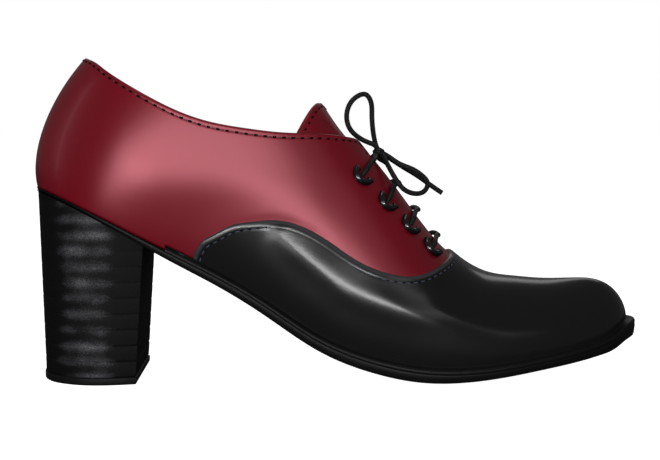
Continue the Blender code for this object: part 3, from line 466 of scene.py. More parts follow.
# Light. Each soft box runs between two directions as seen from the shoe's middle: azimuth 0 is
# behind the camera and 90 is at the toe. reach and width are in metres, power in watts.
SURROUND_LIGHT = 0.14
FLOOR_GLOW = 0.97
FLOOR_BOUNCE = 0.10
FLOOR_HALF = 30.0
SHOE_MIDDLE = Vector((0.09, 0.0, 0.06))
BOX_COLUMNS = (
    "name", "from_azimuth", "from_rise", "to_azimuth", "to_rise", "reach", "width", "power",
)
SOFT_BOXES = (
    ("strip_box", -17.0, -1.8, 18.0, 17.0, 1.5, 0.075, 13.0),
    ("fill_box", 20.0, 18.0, 46.0, 38.0, 1.5, 0.10, 0.8),
    ("low_box", -35.0, 1.5, -19.0, 1.5, 0.43, 0.13, 0.56),
    ("over_box", -40.0, 70.0, 60.0, 70.0, 1.4, 0.40, 2.0),
    ("window_box", -84.0, 4.0, -84.0, 34.0, 1.4, 0.07, 0.5),
    ("back_box", 146.0, 27.0, 204.0, 27.0, 1.5, 0.30, 1.4),
)

MM = 0.001
TOE_ROW = len(LAST_ROWS) - 1
BALL_STACK = EDGE_LIFT + SOLE_THICKNESS + CLEARANCE
LIFT_PITCH = (HEEL_HEIGHT - TOP_PIECE_THICKNESS) / LIFT_COUNT


def natural_spline(at, values):
    """A smooth curve through the values at unevenly spaced places, straight beyond its ends."""
    at = np.array(at, float)
    values = np.array(values, float)
    gap = np.diff(at)
    count = len(at)
    matrix = np.eye(count)
    right = np.zeros(count)
    for i in range(1, count - 1):
        matrix[i, i - 1 : i + 2] = gap[i - 1], 2 * (gap[i - 1] + gap[i]), gap[i]
        slopes = (values[i + 1] - values[i]) / gap[i], (values[i] - values[i - 1]) / gap[i - 1]
        right[i] = 6 * (slopes[0] - slopes[1])
    bend = np.linalg.solve(matrix, right)

    def curve(x):
        x = np.asarray(x, float)
        inside = np.clip(x, at[0], at[-1])
        i = np.clip(np.searchsorted(at, inside, side="right") - 1, 0, count - 2)
        a = (at[i + 1] - inside) / gap[i]
        b = 1 - a
        value = a * values[i] + b * values[i + 1]
        value = value + ((a**3 - a) * bend[i] + (b**3 - b) * bend[i + 1]) * gap[i] ** 2 / 6
        slope = (values[i + 1] - values[i]) / gap[i]
        slope = slope + ((3 * b * b - 1) * bend[i + 1] - (3 * a * a - 1) * bend[i]) * gap[i] / 6
        return value + slope * (x - inside)

    return curve


def closed_spline(values):
    """A smooth closed curve through evenly spaced values, as a function of the row number."""
    values = np.array(values, float)
    count = len(values)
    matrix = np.eye(count) * 4 + np.roll(np.eye(count), 1, 0) + np.roll(np.eye(count), -1, 0)
    bend = np.linalg.solve(matrix, 6 * (np.roll(values, -1) - 2 * values + np.roll(values, 1)))

    def curve(u):
        u = np.asarray(u, float) % count
        i = np.floor(u).astype(int) % count
        j = (i + 1) % count
        b = u - np.floor(u)
        a = 1 - b
        return a * values[i] + b * values[j] + ((a**3 - a) * bend[i] + (b**3 - b) * bend[j]) / 6

    return curve


def column(columns, rows, name):
    """One column of a table."""
    place = columns.index(name)
    return [row[place] for row in rows]


def table_curve(columns, rows, name):
    """One column of a table as a smooth curve over its first column."""
    return natural_spline(column(columns, rows, columns[0]), column(columns, rows, name))


def share_along(x):
    """The place along X as a share of the last's length."""
    return (np.asarray(x, float) - SEAT_BACK) / LAST_LENGTH


def place_along(share):
    """The X of a share of the last's length."""
    return SEAT_BACK + np.asarray(share, float) * LAST_LENGTH


SEAT_CURVES = {name: table_curve(SEAT_COLUMNS, SEAT_ROWS, name) for name in SEAT_COLUMNS[1:]}
COLLAR_CURVES = {
    name: table_curve(COLLAR_COLUMNS, COLLAR_ROWS, name) for name in COLLAR_COLUMNS[1:]
}


def seat(x):
    """Height of the surface that the upper stands on, above the floor."""
    share = share_along(x)
    rise = (HEEL_HEIGHT - BALL_STACK) * SEAT_CURVES["heel"](share)
    return BALL_STACK + rise + TOE_SPRING * SEAT_CURVES["toe"](share)


def collar_height(x, inner=0.0):
    """Height of the collar's edge on the outer side, or on the inner side where inner is 1."""
    share = share_along(x)
    rise = COLLAR_CURVES["rise"](share) - COLLAR_CURVES["drop"](share) * inner
    return seat(x) + COLLAR_HEIGHT * rise


def rib_column(outer_name, inner_name=None, outer_sign=1):
    """One column of the last's table as a closed curve, round the outer side and back the inner."""
    outer = [outer_sign * value for value in column(LAST_COLUMNS, LAST_ROWS, outer_name)]
    inner = column(LAST_COLUMNS, LAST_ROWS, inner_name or outer_name)[1:-1]
    return closed_spline(outer + inner[::-1])


EVEN_COLUMNS = ("at", "top_at", "top_y", "depth", "lift", "shoulder", "swing", "margin")
RIBS = {name: rib_column(name) for name in EVEN_COLUMNS}
RIBS["side"] = rib_column("outer", "inner", -1)
RIBS["flare"] = rib_column("flare_out", "flare_in")


def side_sign(u):
    """-1 on the outer side of the foot and +1 on its inner side."""
    return np.where(np.asarray(u, float) % (2 * TOE_ROW) <= TOE_ROW, -1.0, 1.0)


def feather(u):
    """The feather line in plan, where the upper meets the sole."""
    return place_along(RIBS["at"](u)), BALL_WIDTH * RIBS["side"](u)


def outward(u):
    """The feather line's outward direction in plan."""
    x_after, y_after = feather(np.asarray(u, float) + RIB_STEP)
    x_before, y_before = feather(np.asarray(u, float) - RIB_STEP)
    along_x, along_y = x_after - x_before, y_after - y_before
    length = np.hypot(along_x, along_y)
    return along_y / length, -along_x / length


def last_point(u, t):
    """The last's surface: u counts ribs round the foot, t runs from the feather line to the ridge."""
    u, t = np.broadcast_arrays(np.asarray(u, float), np.asarray(t, float))
    x0, y0 = feather(u)
    z0 = seat(x0)
    x3 = place_along(RIBS["top_at"](u))
    y3 = BALL_WIDTH * RIBS["top_y"](u)
    z3 = seat(x3) + INSTEP_DEPTH * RIBS["depth"](u)
    swing = np.radians(RIBS["swing"](u))
    normal_x, normal_y = outward(u)
    flare = BALL_WIDTH * RIBS["flare"](u)
    lean = BULGE_LEAN * np.cos(swing) ** 2 * (x3 - x0)
    x1 = x0 + flare * normal_x + lean
    y1 = y0 + flare * normal_y
    z1 = z0 + RIBS["lift"](u) * (z3 - z0)
    shoulder = BALL_WIDTH * RIBS["shoulder"](u)
    x2 = x3 + shoulder * np.sin(swing)
    y2 = y3 + shoulder * np.cos(swing) * side_sign(u)
    a, b, c, d = (1 - t) ** 3, 3 * (1 - t) ** 2 * t, 3 * (1 - t) * t**2, t**3
    x = a * x0 + b * x1 + c * x2 + d * x3
    y = a * y0 + b * y1 + c * y2 + d * y3
    z = a * z0 + b * z1 + c * z3 + d * z3
    return np.stack([x, y, z], axis=-1)


def last_normal(u, t):
    """The surface's outward direction."""
    u, t = np.broadcast_arrays(np.asarray(u, float), np.asarray(t, float))
    t = np.minimum(t, LOWEST_NORMAL)
    low, high = np.clip(t - NORMAL_STEP, 0, 1), t + NORMAL_STEP
    around = last_point(u + NORMAL_STEP, t) - last_point(u - NORMAL_STEP, t)
    upward = last_point(u, high) - last_point(u, low)
    normal = np.cross(around, upward)
    return normal / np.linalg.norm(normal, axis=-1, keepdims=True)


def layer_point(u, t, height):
    """A point that far outside the last's surface. On the feather line it stays on the seat."""
    point = last_point(u, t) + last_normal(u, t) * np.asarray(height, float)[..., None]
    u, t, height = np.broadcast_arrays(np.asarray(u, float), t, height)
    normal_x, normal_y = outward(u)
    x0, y0 = feather(u)
    x, y = x0 + normal_x * height, y0 + normal_y * height
    low = np.stack([x, y, seat(x)], axis=-1)
    return np.where((t <= 0)[..., None], low, point)


def throat_half_gap(x):
    """Half the opening between the facings, rounded off at its foot."""
    foot = place_along(THROAT_FOOT_SHARE)
    round_end = THROAT_ROUND * THROAT_HALF_GAP
    past = np.clip((x - (foot - round_end)) / round_end, 0, 1)
    return THROAT_HALF_GAP * np.sqrt(1 - past**2)


def first_rise(value, t):
    """The place on each row where the value first rises past zero, or 1 where it never does."""
    past = value >= 0
    after = np.clip(past.argmax(axis=1), 1, len(t) - 1)
    rows = np.arange(len(value))
    low, high = value[rows, after - 1], value[rows, after]
    share = np.clip(-low / np.maximum(high - low, 1e-12), 0, 1)
    return np.where(past.any(axis=1), t[after - 1] + (t[after] - t[after - 1]) * share, 1.0)


def scanned(u):
    """Each rib's points at a scan of places, as x, y and z, with the places."""
    t = np.linspace(0, 1, SCAN_STEPS)
    points = last_point(np.asarray(u, float)[:, None], t[None, :])
    return (*np.moveaxis(points, -1, 0), t)


def upper_tops(u):
    """How far up each rib the upper reaches: to the collar, to the facing, or to the ridge."""
    x, y, z, t = scanned(u)
    share = share_along(x)
    inner = (side_sign(u)[:, None] + 1) / 2
    over_collar = np.where(share > COLLAR_END_SHARE, -1.0, z - collar_height(x, inner))
    from_ridge = np.abs(y - BALL_WIDTH * RIBS["top_y"](u)[:, None])
    in_throat = throat_half_gap(x) - from_ridge
    in_throat = np.where(share < FACING_CORNER_SHARE - FACING_CORNER_EASE, -1.0, in_throat)
    in_throat = np.where(share >= THROAT_FOOT_SHARE, -1.0, in_throat)
    return first_rise(np.maximum(over_collar, in_throat), t)


def ridge_rib(share):
    """The rib whose top lies at this share of the length."""
    u = np.linspace(FIRST_TOP_RIB, TOE_ROW, RIDGE_STEPS)
    return float(np.interp(share, RIBS["top_at"](u), u))


FOOT_RIB = ridge_rib(THROAT_FOOT_SHARE)
VAMP_FOOT_ROW = (THROAT_FOOT_SHARE, float(RIBS["depth"](FOOT_RIB)))
VAMP_CURVE = table_curve(VAMP_COLUMNS, (*VAMP_ROWS, VAMP_FOOT_ROW), "rise")


def vamp_tops(u):
    """How far up each rib the vamp reaches: to its edge over the quarters, or to the ridge."""
    x, _, z, t = scanned(u)
    tops = first_rise(z - seat(x) - INSTEP_DEPTH * VAMP_CURVE(share_along(x)), t)
    ahead = np.abs(np.asarray(u) - TOE_ROW) <= TOE_ROW - FOOT_RIB
    return np.where(ahead, 1.0, tops)


def vamp_first_rib():
    """The rib at which the vamp's edge comes down to its rear end."""
    u = np.linspace(FIRST_TOP_RIB, FOOT_RIB, EDGE_STEPS)
    x = last_point(u, vamp_tops(u))[:, 0]
    return float(np.interp(place_along(VAMP_ROWS[0][0]), x, u))


def line_length(points):
    """The length of a line up to each of its points."""
    return np.concatenate([[0], np.cumsum(np.linalg.norm(np.diff(points, axis=0), axis=1))])


def spaced_ribs(first, tops, close_places):
    """Ribs at even steps round the outer side, closer together near the places given along X."""
    fine = np.linspace(first, TOE_ROW, SPACING_STEPS)
    top, low = last_point(fine, tops(fine)), last_point(fine, 0 * fine)
    step = (np.diff(line_length(top)) + np.diff(line_length(low))) / 2
    spacing = np.full(len(step), RIB_SPACING)
    for place in close_places:
        spacing[np.abs(top[1:, 0] - place) < CLOSE_REACH] = CLOSE_SPACING
    along = np.concatenate([[0], np.cumsum(step / spacing)])
    return np.interp(np.linspace(0, along[-1], math.ceil(along[-1]) + 1), along, fine)


def rib_grid(u, top):
    """Places up each rib, close together under its top edge."""
    under = last_point(u, top - TOP_STEP)
    speed = np.linalg.norm(last_point(u, top) - under, axis=1) / TOP_STEP
    near = top[:, None] - np.array(EDGE_ROWS[::-1]) * MM / speed[:, None]
    least = EDGE_ROWS_LOWEST + (1 - EDGE_ROWS_LOWEST) * np.linspace(0, 1, len(EDGE_ROWS))
    near = np.maximum(near, top[:, None] * least)
    low = near[:, :1] * np.linspace(0, 1, BODY_ROWS + 1)[:-1]
    return np.hstack([low, near])


def both_sides(u):
    """The outer side's ribs and then the inner side's, back from the toe."""
    return np.concatenate([u, (2 * TOE_ROW - u)[-2::-1]])


def distance_to(points, line):
    """The distance from each point to a line through many points."""
    flat = points.reshape(-1, 3)
    best = np.full(len(flat), np.inf)
    for a, b in zip(line[:-1], line[1:]):
        along = b - a
        length = max(float(along @ along), 1e-18)
        share = np.clip((flat - a) @ along / length, 0, 1)
        gap = flat - a - share[:, None] * along
        best = np.minimum(best, np.einsum("ij,ij->i", gap, gap))
    return np.sqrt(best).reshape(points.shape[:-1])


def rounding(distance, radius):
    """How far up a quarter round the surface is at this distance from the edge: 0 to 1."""
    share = np.clip(distance / radius, 0, 1)
    return np.sqrt(1 - (1 - share) ** 2)


def groove(distance, place):
    """The shallow groove that a row of stitches lies in, at its place from the edge."""
    return -GROOVE_DEPTH * np.exp(-(((distance - place) / GROOVE_WIDTH) ** 2))


def eased(value, low, high):
    """A soft step from 0 at low to 1 at high."""
    share = np.clip((value - low) / (high - low), 0, 1)
    return share * share * (3 - 2 * share)


def soft_ridge(points, route, size, fades):
    """How far a given ridge lifts each point; it fades in and out along X."""
    height, reach = size
    line = smooth_route(np.array(route) * MM, MM)
    lift = height * np.exp(-((distance_to(points, line) / reach) ** 2))
    x = points[..., 0]
    return lift * eased(x, fades[0], fades[1]) * eased(x, fades[3], fades[2])


def grid_quads(rows, columns, start=0, flip=False):
    """The quads of a grid of points, row by row."""
    index = start + np.arange(rows * columns).reshape(rows, columns)
    quads = np.stack([index[:-1, :-1], index[1:, :-1], index[1:, 1:], index[:-1, 1:]], axis=-1)
    quads = quads.reshape(-1, 4)
    return quads[:, ::-1] if flip else quads


def ring_faces(rings, count, start=0):
    """The quads between rings of equally many points, each joined to the next one."""
    faces = []
    for ring in range(rings - 1):
        low = start + ring * count
        for k in range(count):
            j = (k + 1) % count
            faces.append((low + k, low + j, low + count + j, low + count + k))
    return faces


def mesh_object(name, points, faces, materials, choice=None, merge=2e-6, sharp=None):
    """A smooth mesh with points that meet made one. choice gives each face's material."""
    mesh = bpy.data.meshes.new(name)
    corners = [tuple(int(i) for i in face) for face in faces]
    mesh.from_pydata(np.asarray(points).tolist(), [], corners)
    for material in materials:
        mesh.materials.append(material)
    if choice is not None:
        mesh.polygons.foreach_set("material_index", np.asarray(choice, np.int32))
    work = bmesh.new()
    work.from_mesh(mesh)
    bmesh.ops.remove_doubles(work, verts=work.verts, dist=merge)
    bmesh.ops.dissolve_degenerate(work, edges=work.edges, dist=merge / 2)
    work.to_mesh(mesh)
    work.free()
    mesh.shade_smooth()
    if sharp:
        mesh.set_sharp_from_angle(angle=math.radians(sharp))
    obj = bpy.data.objects.new(name, mesh)
    bpy.context.scene.collection.objects.link(obj)
    return obj


def outwards(obj):
    """Turns the faces of a closed mesh to the outside."""
    work = bmesh.new()
    work.from_mesh(obj.data)
    bmesh.ops.recalc_face_normals(work, faces=work.faces)
    if work.calc_volume(signed=True) < 0:
        bmesh.ops.reverse_faces(work, faces=work.faces)
    work.to_mesh(obj.data)
    work.free()


def install(obj, slot, *nodes):
    """The piece rides on the shoe and stands for these solids; its slot is not used."""
    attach(obj, "root")
    if nodes:
        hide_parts(*nodes)
    return obj


def shader_of(name, colour, roughness, **settings):
    """A material with the values set on its own shader, and that shader."""
    material = bpy.data.materials.new(name)
    material.use_nodes = True
    shader = material.node_tree.nodes["Principled BSDF"]
    shader.inputs["Base Color"].default_value = (*colour, 1.0)
    shader.inputs["Roughness"].default_value = roughness
    for key, value in settings.items():
        shader.inputs[key.replace("_", " ")].default_value = value
    return material, shader


def add_node(material, kind, **settings):
    """A node with these settings and inputs."""
    node = material.node_tree.nodes.new(kind)
    for key, value in settings.items():
        if hasattr(node, key):
            setattr(node, key, value)
        else:
            node.inputs[key.replace("_", " ")].default_value = value
    return node


def object_place(material):
    """The place on the object that is being shaded."""
    return add_node(material, "ShaderNodeTexCoord").outputs["Object"]


def noise(material, scale, detail=3.0, roughness=0.55, stretch=(1, 1, 1)):
    """Noise over the object's own place, finer along the axes with a larger stretch."""
    links = material.node_tree.links
    mapping = add_node(material, "ShaderNodeMapping")
    mapping.inputs["Scale"].default_value = stretch
    links.new(object_place(material), mapping.inputs["Vector"])
    node = add_node(material, "ShaderNodeTexNoise", Scale=scale, Detail=detail, Roughness=roughness)
    links.new(mapping.outputs["Vector"], node.inputs["Vector"])
    return node.outputs["Fac"]


def object_axis(material, axis):
    """One coordinate of the place that is being shaded."""
    node = add_node(material, "ShaderNodeSeparateXYZ")
    material.node_tree.links.new(object_place(material), node.inputs["Vector"])
    return node.outputs[axis]


def math_node(material, operation, first, second=None):
    """One step of arithmetic on a value, with a number or another value."""
    node = add_node(material, "ShaderNodeMath", operation=operation)
    material.node_tree.links.new(first, node.inputs[0])
    if isinstance(second, float):
        node.inputs[1].default_value = second
    elif second is not None:
        material.node_tree.links.new(second, node.inputs[1])
    return node.outputs[0]


def map_range(material, value, ends, results=(0.0, 1.0), **settings):
    """The value, moved from between the ends to between the results."""
    node = add_node(material, "ShaderNodeMapRange", **settings)
    for socket, number in zip(("From Min", "From Max", "To Min", "To Max"), (*ends, *results)):
        node.inputs[socket].default_value = number
    material.node_tree.links.new(value, node.inputs["Value"])
    return node.outputs["Result"]


def ramp(material, value, stops):
    """A colour ramp of the value, from (place, colour) stops."""
    node = add_node(material, "ShaderNodeValToRGB")
    elements = node.color_ramp.elements
    while len(elements) < len(stops):
        elements.new(0.5)
    for element, (place, colour) in zip(elements, stops):
        element.position = place
        element.color = (*colour, 1.0) if len(colour) == 3 else colour
    material.node_tree.links.new(value, node.inputs["Fac"])
    return node.outputs["Color"]


def add_bump(material, shader, height, strength, distance, socket="Normal"):
    """A bump of the height on the shader, over any bump that is there already."""
    links = material.node_tree.links
    node = add_node(material, "ShaderNodeBump")
    node.inputs["Strength"].default_value = strength
    node.inputs["Distance"].default_value = distance
    links.new(height, node.inputs["Height"])
    there = shader.inputs[socket].links
    if there:
        links.new(there[0].from_socket, node.inputs["Normal"])
    links.new(node.outputs["Normal"], shader.inputs[socket])


def patent_material(name, colour, dark):
    """Deep red leather with a soft tinted sheen, and a thin, clear coat at the heel counter."""
    material, shader = shader_of(
        name, colour, PATENT_ROUGHNESS, Specular_IOR_Level=PATENT_SHINE, Specular_Tint=RED_SHEEN,
        Coat_Roughness=COAT_ROUGHNESS, Coat_IOR=COAT_IOR,
    )
    links = material.node_tree.links
    x = object_axis(material, "X")
    coat = map_range(material, x, COAT_ENDS, (COAT_SHARE, 0.0), interpolation_type="SMOOTHSTEP")
    links.new(coat, shader.inputs["Coat Weight"])
    tone = ramp(material, noise(material, *RED_CLOUD), [(0.30, dark), (0.70, colour)])
    links.new(tone, shader.inputs["Base Color"])
    add_bump(material, shader, noise(material, *RED_GRAIN), *RED_GRAIN_BUMP)
    add_bump(material, shader, noise(material, *COAT_WAVES), *COAT_BUMP, "Coat Normal")
    return material


def leather_material(name, colour, roughness, grain=0.25, **settings):
    """Smooth leather with a fine pebble grain and a slight change of gloss."""
    material, shader = shader_of(name, colour, roughness, **settings)
    links = material.node_tree.links
    cells = add_node(material, "ShaderNodeTexVoronoi", Scale=GRAIN_SCALE, feature="SMOOTH_F1")
    links.new(object_place(material), cells.inputs["Vector"])
    add_bump(material, shader, cells.outputs["Distance"], grain, GRAIN_DEPTH)
    add_bump(material, shader, noise(material, *LEATHER_WAVES), *LEATHER_BUMP)
    least, most = roughness * (1 - GLOSS_CHANGE), roughness * (1 + GLOSS_CHANGE)
    spread = map_range(material, noise(material, *GLOSS_CLOUD), (0.0, 1.0), (least, most))
    links.new(spread, shader.inputs["Roughness"])
    return material, shader


def vamp_material():
    """Black vamp leather with grey at its cut edge, partly the raw edge's tone and partly painted
    highlight, and painted sheen over the bevel, read from the distance kept on the mesh.
    """
    material, shader = leather_material(
        "vamp_leather", VAMP_BLACK, VAMP_ROUGHNESS, VAMP_GRAIN, Specular_IOR_Level=VAMP_SHINE
    )
    distance = add_node(material, "ShaderNodeAttribute", attribute_name="edge_distance")
    share = map_range(material, distance.outputs["Fac"], (0.0, EDGE_SHEEN_REACH))
    # Painted highlight and sheen at the cut edge and over the bevel, partly the raw edge's own grey
    tone = ramp(material, share, EDGE_TONES_AND_SHEEN)
    material.node_tree.links.new(tone, shader.inputs["Base Color"])
    return material


def heel_material():
    """Stacked heel: near black with flecks of its leather. Painted highlight makes them lighter in a
    band over each lift and fades them towards the front and back.
    """
    material, shader = shader_of("stacked_heel", HEEL_BLACK, 0.6, Specular_IOR_Level=0.08)
    fleck, cloud = noise(material, *HEEL_FLECKS), noise(material, *HEEL_CLOUD)
    lift = math_node(material, "MULTIPLY", object_axis(material, "Z"), 2 * math.pi / LIFT_PITCH)
    # Painted highlight: the flecks are lighter in a band over each lift
    highlight_band = map_range(material, math_node(material, "COSINE", lift), (-1.0, 1.0), FLECK_HIGHLIGHT_BANDS)
    middle = math_node(material, "ABSOLUTE", object_axis(material, "X"))
    # Painted highlight fading out towards the heel's front and back
    highlight_fade = map_range(material, middle, FLECK_HIGHLIGHT_ENDS, FLECK_HIGHLIGHT_FADE)
    flecks_and_highlight = fleck
    for share in (cloud, highlight_band, highlight_fade):
        flecks_and_highlight = math_node(material, "MULTIPLY", flecks_and_highlight, share)
    tone = ramp(material, flecks_and_highlight, HEEL_TONES)
    material.node_tree.links.new(tone, shader.inputs["Base Color"])
    add_bump(material, shader, fleck, *HEEL_BUMP)
    return material


def lace_material():
    """Round waxed lace with a fine braid, laid out by the tube's own coordinates."""
    material, shader = shader_of("black_lace", LACE_BLACK, 0.5, Specular_IOR_Level=0.25)
    links = material.node_tree.links
    place = add_node(material, "ShaderNodeTexCoord").outputs["UV"]
    heights = []
    for turn in (BRAID_TURN, -BRAID_TURN):
        mapping = add_node(material, "ShaderNodeMapping")
        mapping.inputs["Rotation"].default_value = (0, 0, math.radians(turn))
        links.new(place, mapping.inputs["Vector"])
        wave = add_node(material, "ShaderNodeTexWave", Scale=BRAID_SCALE)
        links.new(mapping.outputs["Vector"], wave.inputs["Vector"])
        heights.append(wave.outputs["Fac"])
    braid = math_node(material, "MULTIPLY", *heights)
    add_bump(material, shader, braid, *BRAID_BUMP)
    tone = ramp(material, braid, [(0.35, LACE_BLACK), (1.0, LACE_GREY)])
    links.new(tone, shader.inputs["Base Color"])
    return material


def make_materials():
    """All materials, by the part that wears them."""
    plain = {"Specular_IOR_Level": 0.10}
    return {
        "patent": patent_material("red_patent", RED, RED_DARK),
        "vamp": vamp_material(),
        "lining": leather_material("lining_leather", LINING_CREAM, 0.6)[0],
        "insole": leather_material("insole_leather", INSOLE_CREAM, 0.6)[0],
        "sole": leather_material("sole_black", SOLE_BLACK, 0.42, 0.1, **plain)[0],
        "welt": leather_material("welt_black", SOLE_BLACK, 0.42, 0.1, **plain)[0],
        "heel": heel_material(),
        "rubber": leather_material("top_piece_rubber", SOLE_BLACK, 0.55, 0.4, **plain)[0],
        "lace": lace_material(),
        "eyelet": shader_of("eyelet_enamel", ENAMEL_BLACK, 0.20, Specular_IOR_Level=0.6)[0],
        # Painted shade for the eyelet holes' dark mouths
        "hole": shader_of("eyelet_hole_shade", HOLE_SHADE_BLACK, 0.9)[0],
        "black_thread": shader_of("black_thread", THREAD_BLACK, 0.7, Specular_IOR_Level=0.08)[0],
        "blue_thread": shader_of("blue_thread", THREAD_BLUE, 0.6, Specular_IOR_Level=0.2)[0],
        "red_thread": shader_of("red_thread", THREAD_RED, 0.5)[0],
    }


def sheet_object(name, u, t, outer_height, inner_height, materials, inner_choice):
    """A leather sheet: its outer skin, its inner skin and the strip between them on the seat."""
    rows, columns = t.shape
    u = np.repeat(u[:, None], columns, axis=1)
    skins = [layer_point(u, t, height) for height in (outer_height, inner_height)]
    points = np.concatenate([skin.reshape(-1, 3) for skin in skins])
    outer = grid_quads(rows, columns, 0, flip=True)
    inner = grid_quads(rows, columns, rows * columns)
    low = np.arange(rows) * columns
    high = low + columns - 1
    skin = rows * columns
    strip = np.stack([low[:-1], low[1:], low[1:] + skin, low[:-1] + skin], axis=-1)
    edge = np.stack([high[1:], high[:-1], high[:-1] + skin, high[1:] + skin], axis=-1)
    faces = np.concatenate([outer, inner, strip, edge])
    choice = np.concatenate(
        [np.zeros(len(outer)), np.full(len(inner), inner_choice), np.zeros(len(strip) + len(edge))]
    )
    return mesh_object(name, points, faces, materials, choice)


def edge_line(u, top):
    """The top edge as one line round the back, from the throat's foot and back to it."""
    points = last_point(u, top)
    outer = points[u <= FOOT_RIB + TOUCHING]
    inner = points[u >= 2 * TOE_ROW - FOOT_RIB - TOUCHING]
    return np.concatenate([inner, outer[1:]])


def vamp_cover(u):
    """How far up each rib the vamp covers the quarters; nothing behind its rear end."""
    folded = np.minimum(u, 2 * TOE_ROW - u)
    return np.where(folded < vamp_first_rib(), 0.0, vamp_tops(folded) + VAMP_COVER)


def build_quarters(looks):
    """The red quarters, with a rolled topline, a stitch groove and a cream lining inside."""
    u = both_sides(spaced_ribs(0.0, upper_tops, [float(place_along(THROAT_FOOT_SHARE))]))
    top = upper_tops(u)
    line = edge_line(u, top)
    t = rib_grid(u, top)
    base = last_point(u[:, None], t)
    distance = distance_to(base, line)
    half = UPPER_WALL / 2
    roll = half * rounding(distance, half)
    past_end = share_along(base[..., 0]) - TOPLINE_STITCH_END
    stitched = np.clip((GROOVE_RUN_OUT - past_end) / TOPLINE_GROOVE_FADE, 0, 1)
    outer = -half + roll + groove(distance, topline_inset(base[..., 0])) * stitched
    ridge = soft_ridge(base, QUARTER_RIDGE, QUARTER_RIDGE_SIZE, QUARTER_RIDGE_FADES)
    under_vamp = np.clip((vamp_cover(u)[:, None] - t) / VAMP_COVER_FADE, 0, 1)
    outer = outer + ridge * (1 - under_vamp)
    materials = [looks["patent"], looks["lining"]]
    quarters = sheet_object("quarters", u, t, outer, -half - roll, materials, 1)
    install(quarters, "red_patent", "upper")
    path = stitch_path(u, t, distance, topline_inset(base[:, -1, 0]))
    share = share_along(last_point(*path)[:, 0])
    return tuple(part[share < TOPLINE_STITCH_END] for part in path)


def topline_inset(x):
    """How far the stitches lie from the topline: closer at the back than along the sides."""
    return np.interp(share_along(x), TOPLINE_STITCH_SHARES, (TOPLINE_STITCH_BACK, TOPLINE_STITCH))


def stitch_path(u, t, distance, places):
    """The ribs and places, in order round the shoe, that lie this far from the edge."""
    found_u, found_t = [], []
    for rib, place in enumerate(np.broadcast_to(places, len(u))):
        far = np.flatnonzero(distance[rib] >= place)
        if len(far) == 0 or far[-1] == t.shape[1] - 1:
            continue
        i = far[-1]
        near, past = distance[rib, i], distance[rib, i + 1]
        share = (near - place) / max(near - past, 1e-9)
        found_u.append(u[rib])
        found_t.append(t[rib, i] + (t[rib, i + 1] - t[rib, i]) * share)
    return np.array(found_u), np.array(found_t)


def between(places, along, values):
    """The values, points or directions, at these places along a line."""
    return np.stack([np.interp(places, along, values[:, k]) for k in range(3)], axis=1)


def stitch_row(name, points, normals, material, slot):
    """A row of stitches along a line on the leather, each a short thread that dips at its ends."""
    pitch, length, first_place, width, height = (value * MM for value in THREAD_ROWS[name])
    along = line_length(points)
    number = int((along[-1] - first_place - length) / pitch) + 1
    ends = np.linspace(-1, 1, STITCH_STATIONS)
    round_off = np.sqrt(np.clip(1 - ends**4, 0, 1))[:, None]
    size = STITCH_END + (1 - STITCH_END) * round_off
    angle = np.linspace(0, 2 * math.pi, STITCH_SIDES, endpoint=False)
    all_points, all_faces = [], []
    for stitch in range(number):
        places = first_place + stitch * pitch + np.linspace(0, length, STITCH_STATIONS)
        centre, above = between(places, along, points), between(places, along, normals)
        above /= np.linalg.norm(above, axis=1, keepdims=True)
        ahead = np.gradient(centre, axis=0)
        ahead /= np.linalg.norm(ahead, axis=1, keepdims=True)
        across = np.cross(ahead, above) * width / 2 * size
        centre = centre + above * height * (round_off - STITCH_SINK)
        wide = across[:, None] * np.cos(angle)[None, :, None]
        high = (above * height * size)[:, None] * np.sin(angle)[None, :, None]
        all_points.append((centre[:, None] + wide + high).reshape(-1, 3))
        start = stitch * STITCH_STATIONS * STITCH_SIDES
        last = start + (STITCH_STATIONS - 1) * STITCH_SIDES
        all_faces += ring_faces(STITCH_STATIONS, STITCH_SIDES, start)
        all_faces.append(tuple(start + k for k in reversed(range(STITCH_SIDES))))
        all_faces.append(tuple(last + k for k in range(STITCH_SIDES)))
    row = mesh_object(name, np.concatenate(all_points), all_faces, [material], merge=1e-7)
    outwards(row)
    return install(row, slot)


def on_surface(path, height):
    """The points at this height over a path on the last, with their normals."""
    u, t = path
    return layer_point(u, t, np.full(len(u), height)), last_normal(u, t)


def build_topline_stitches(looks, path):
    """Black stitches under the topline, with the red thread sunk between them."""
    points, normals = on_surface(path, -GROOVE_DEPTH * THREAD_SUNK)
    stitch_row("topline_stitches", points, normals, looks["black_thread"], "red_patent")
    stitch_row("topline_threads", points, normals, looks["red_thread"], "red_patent")


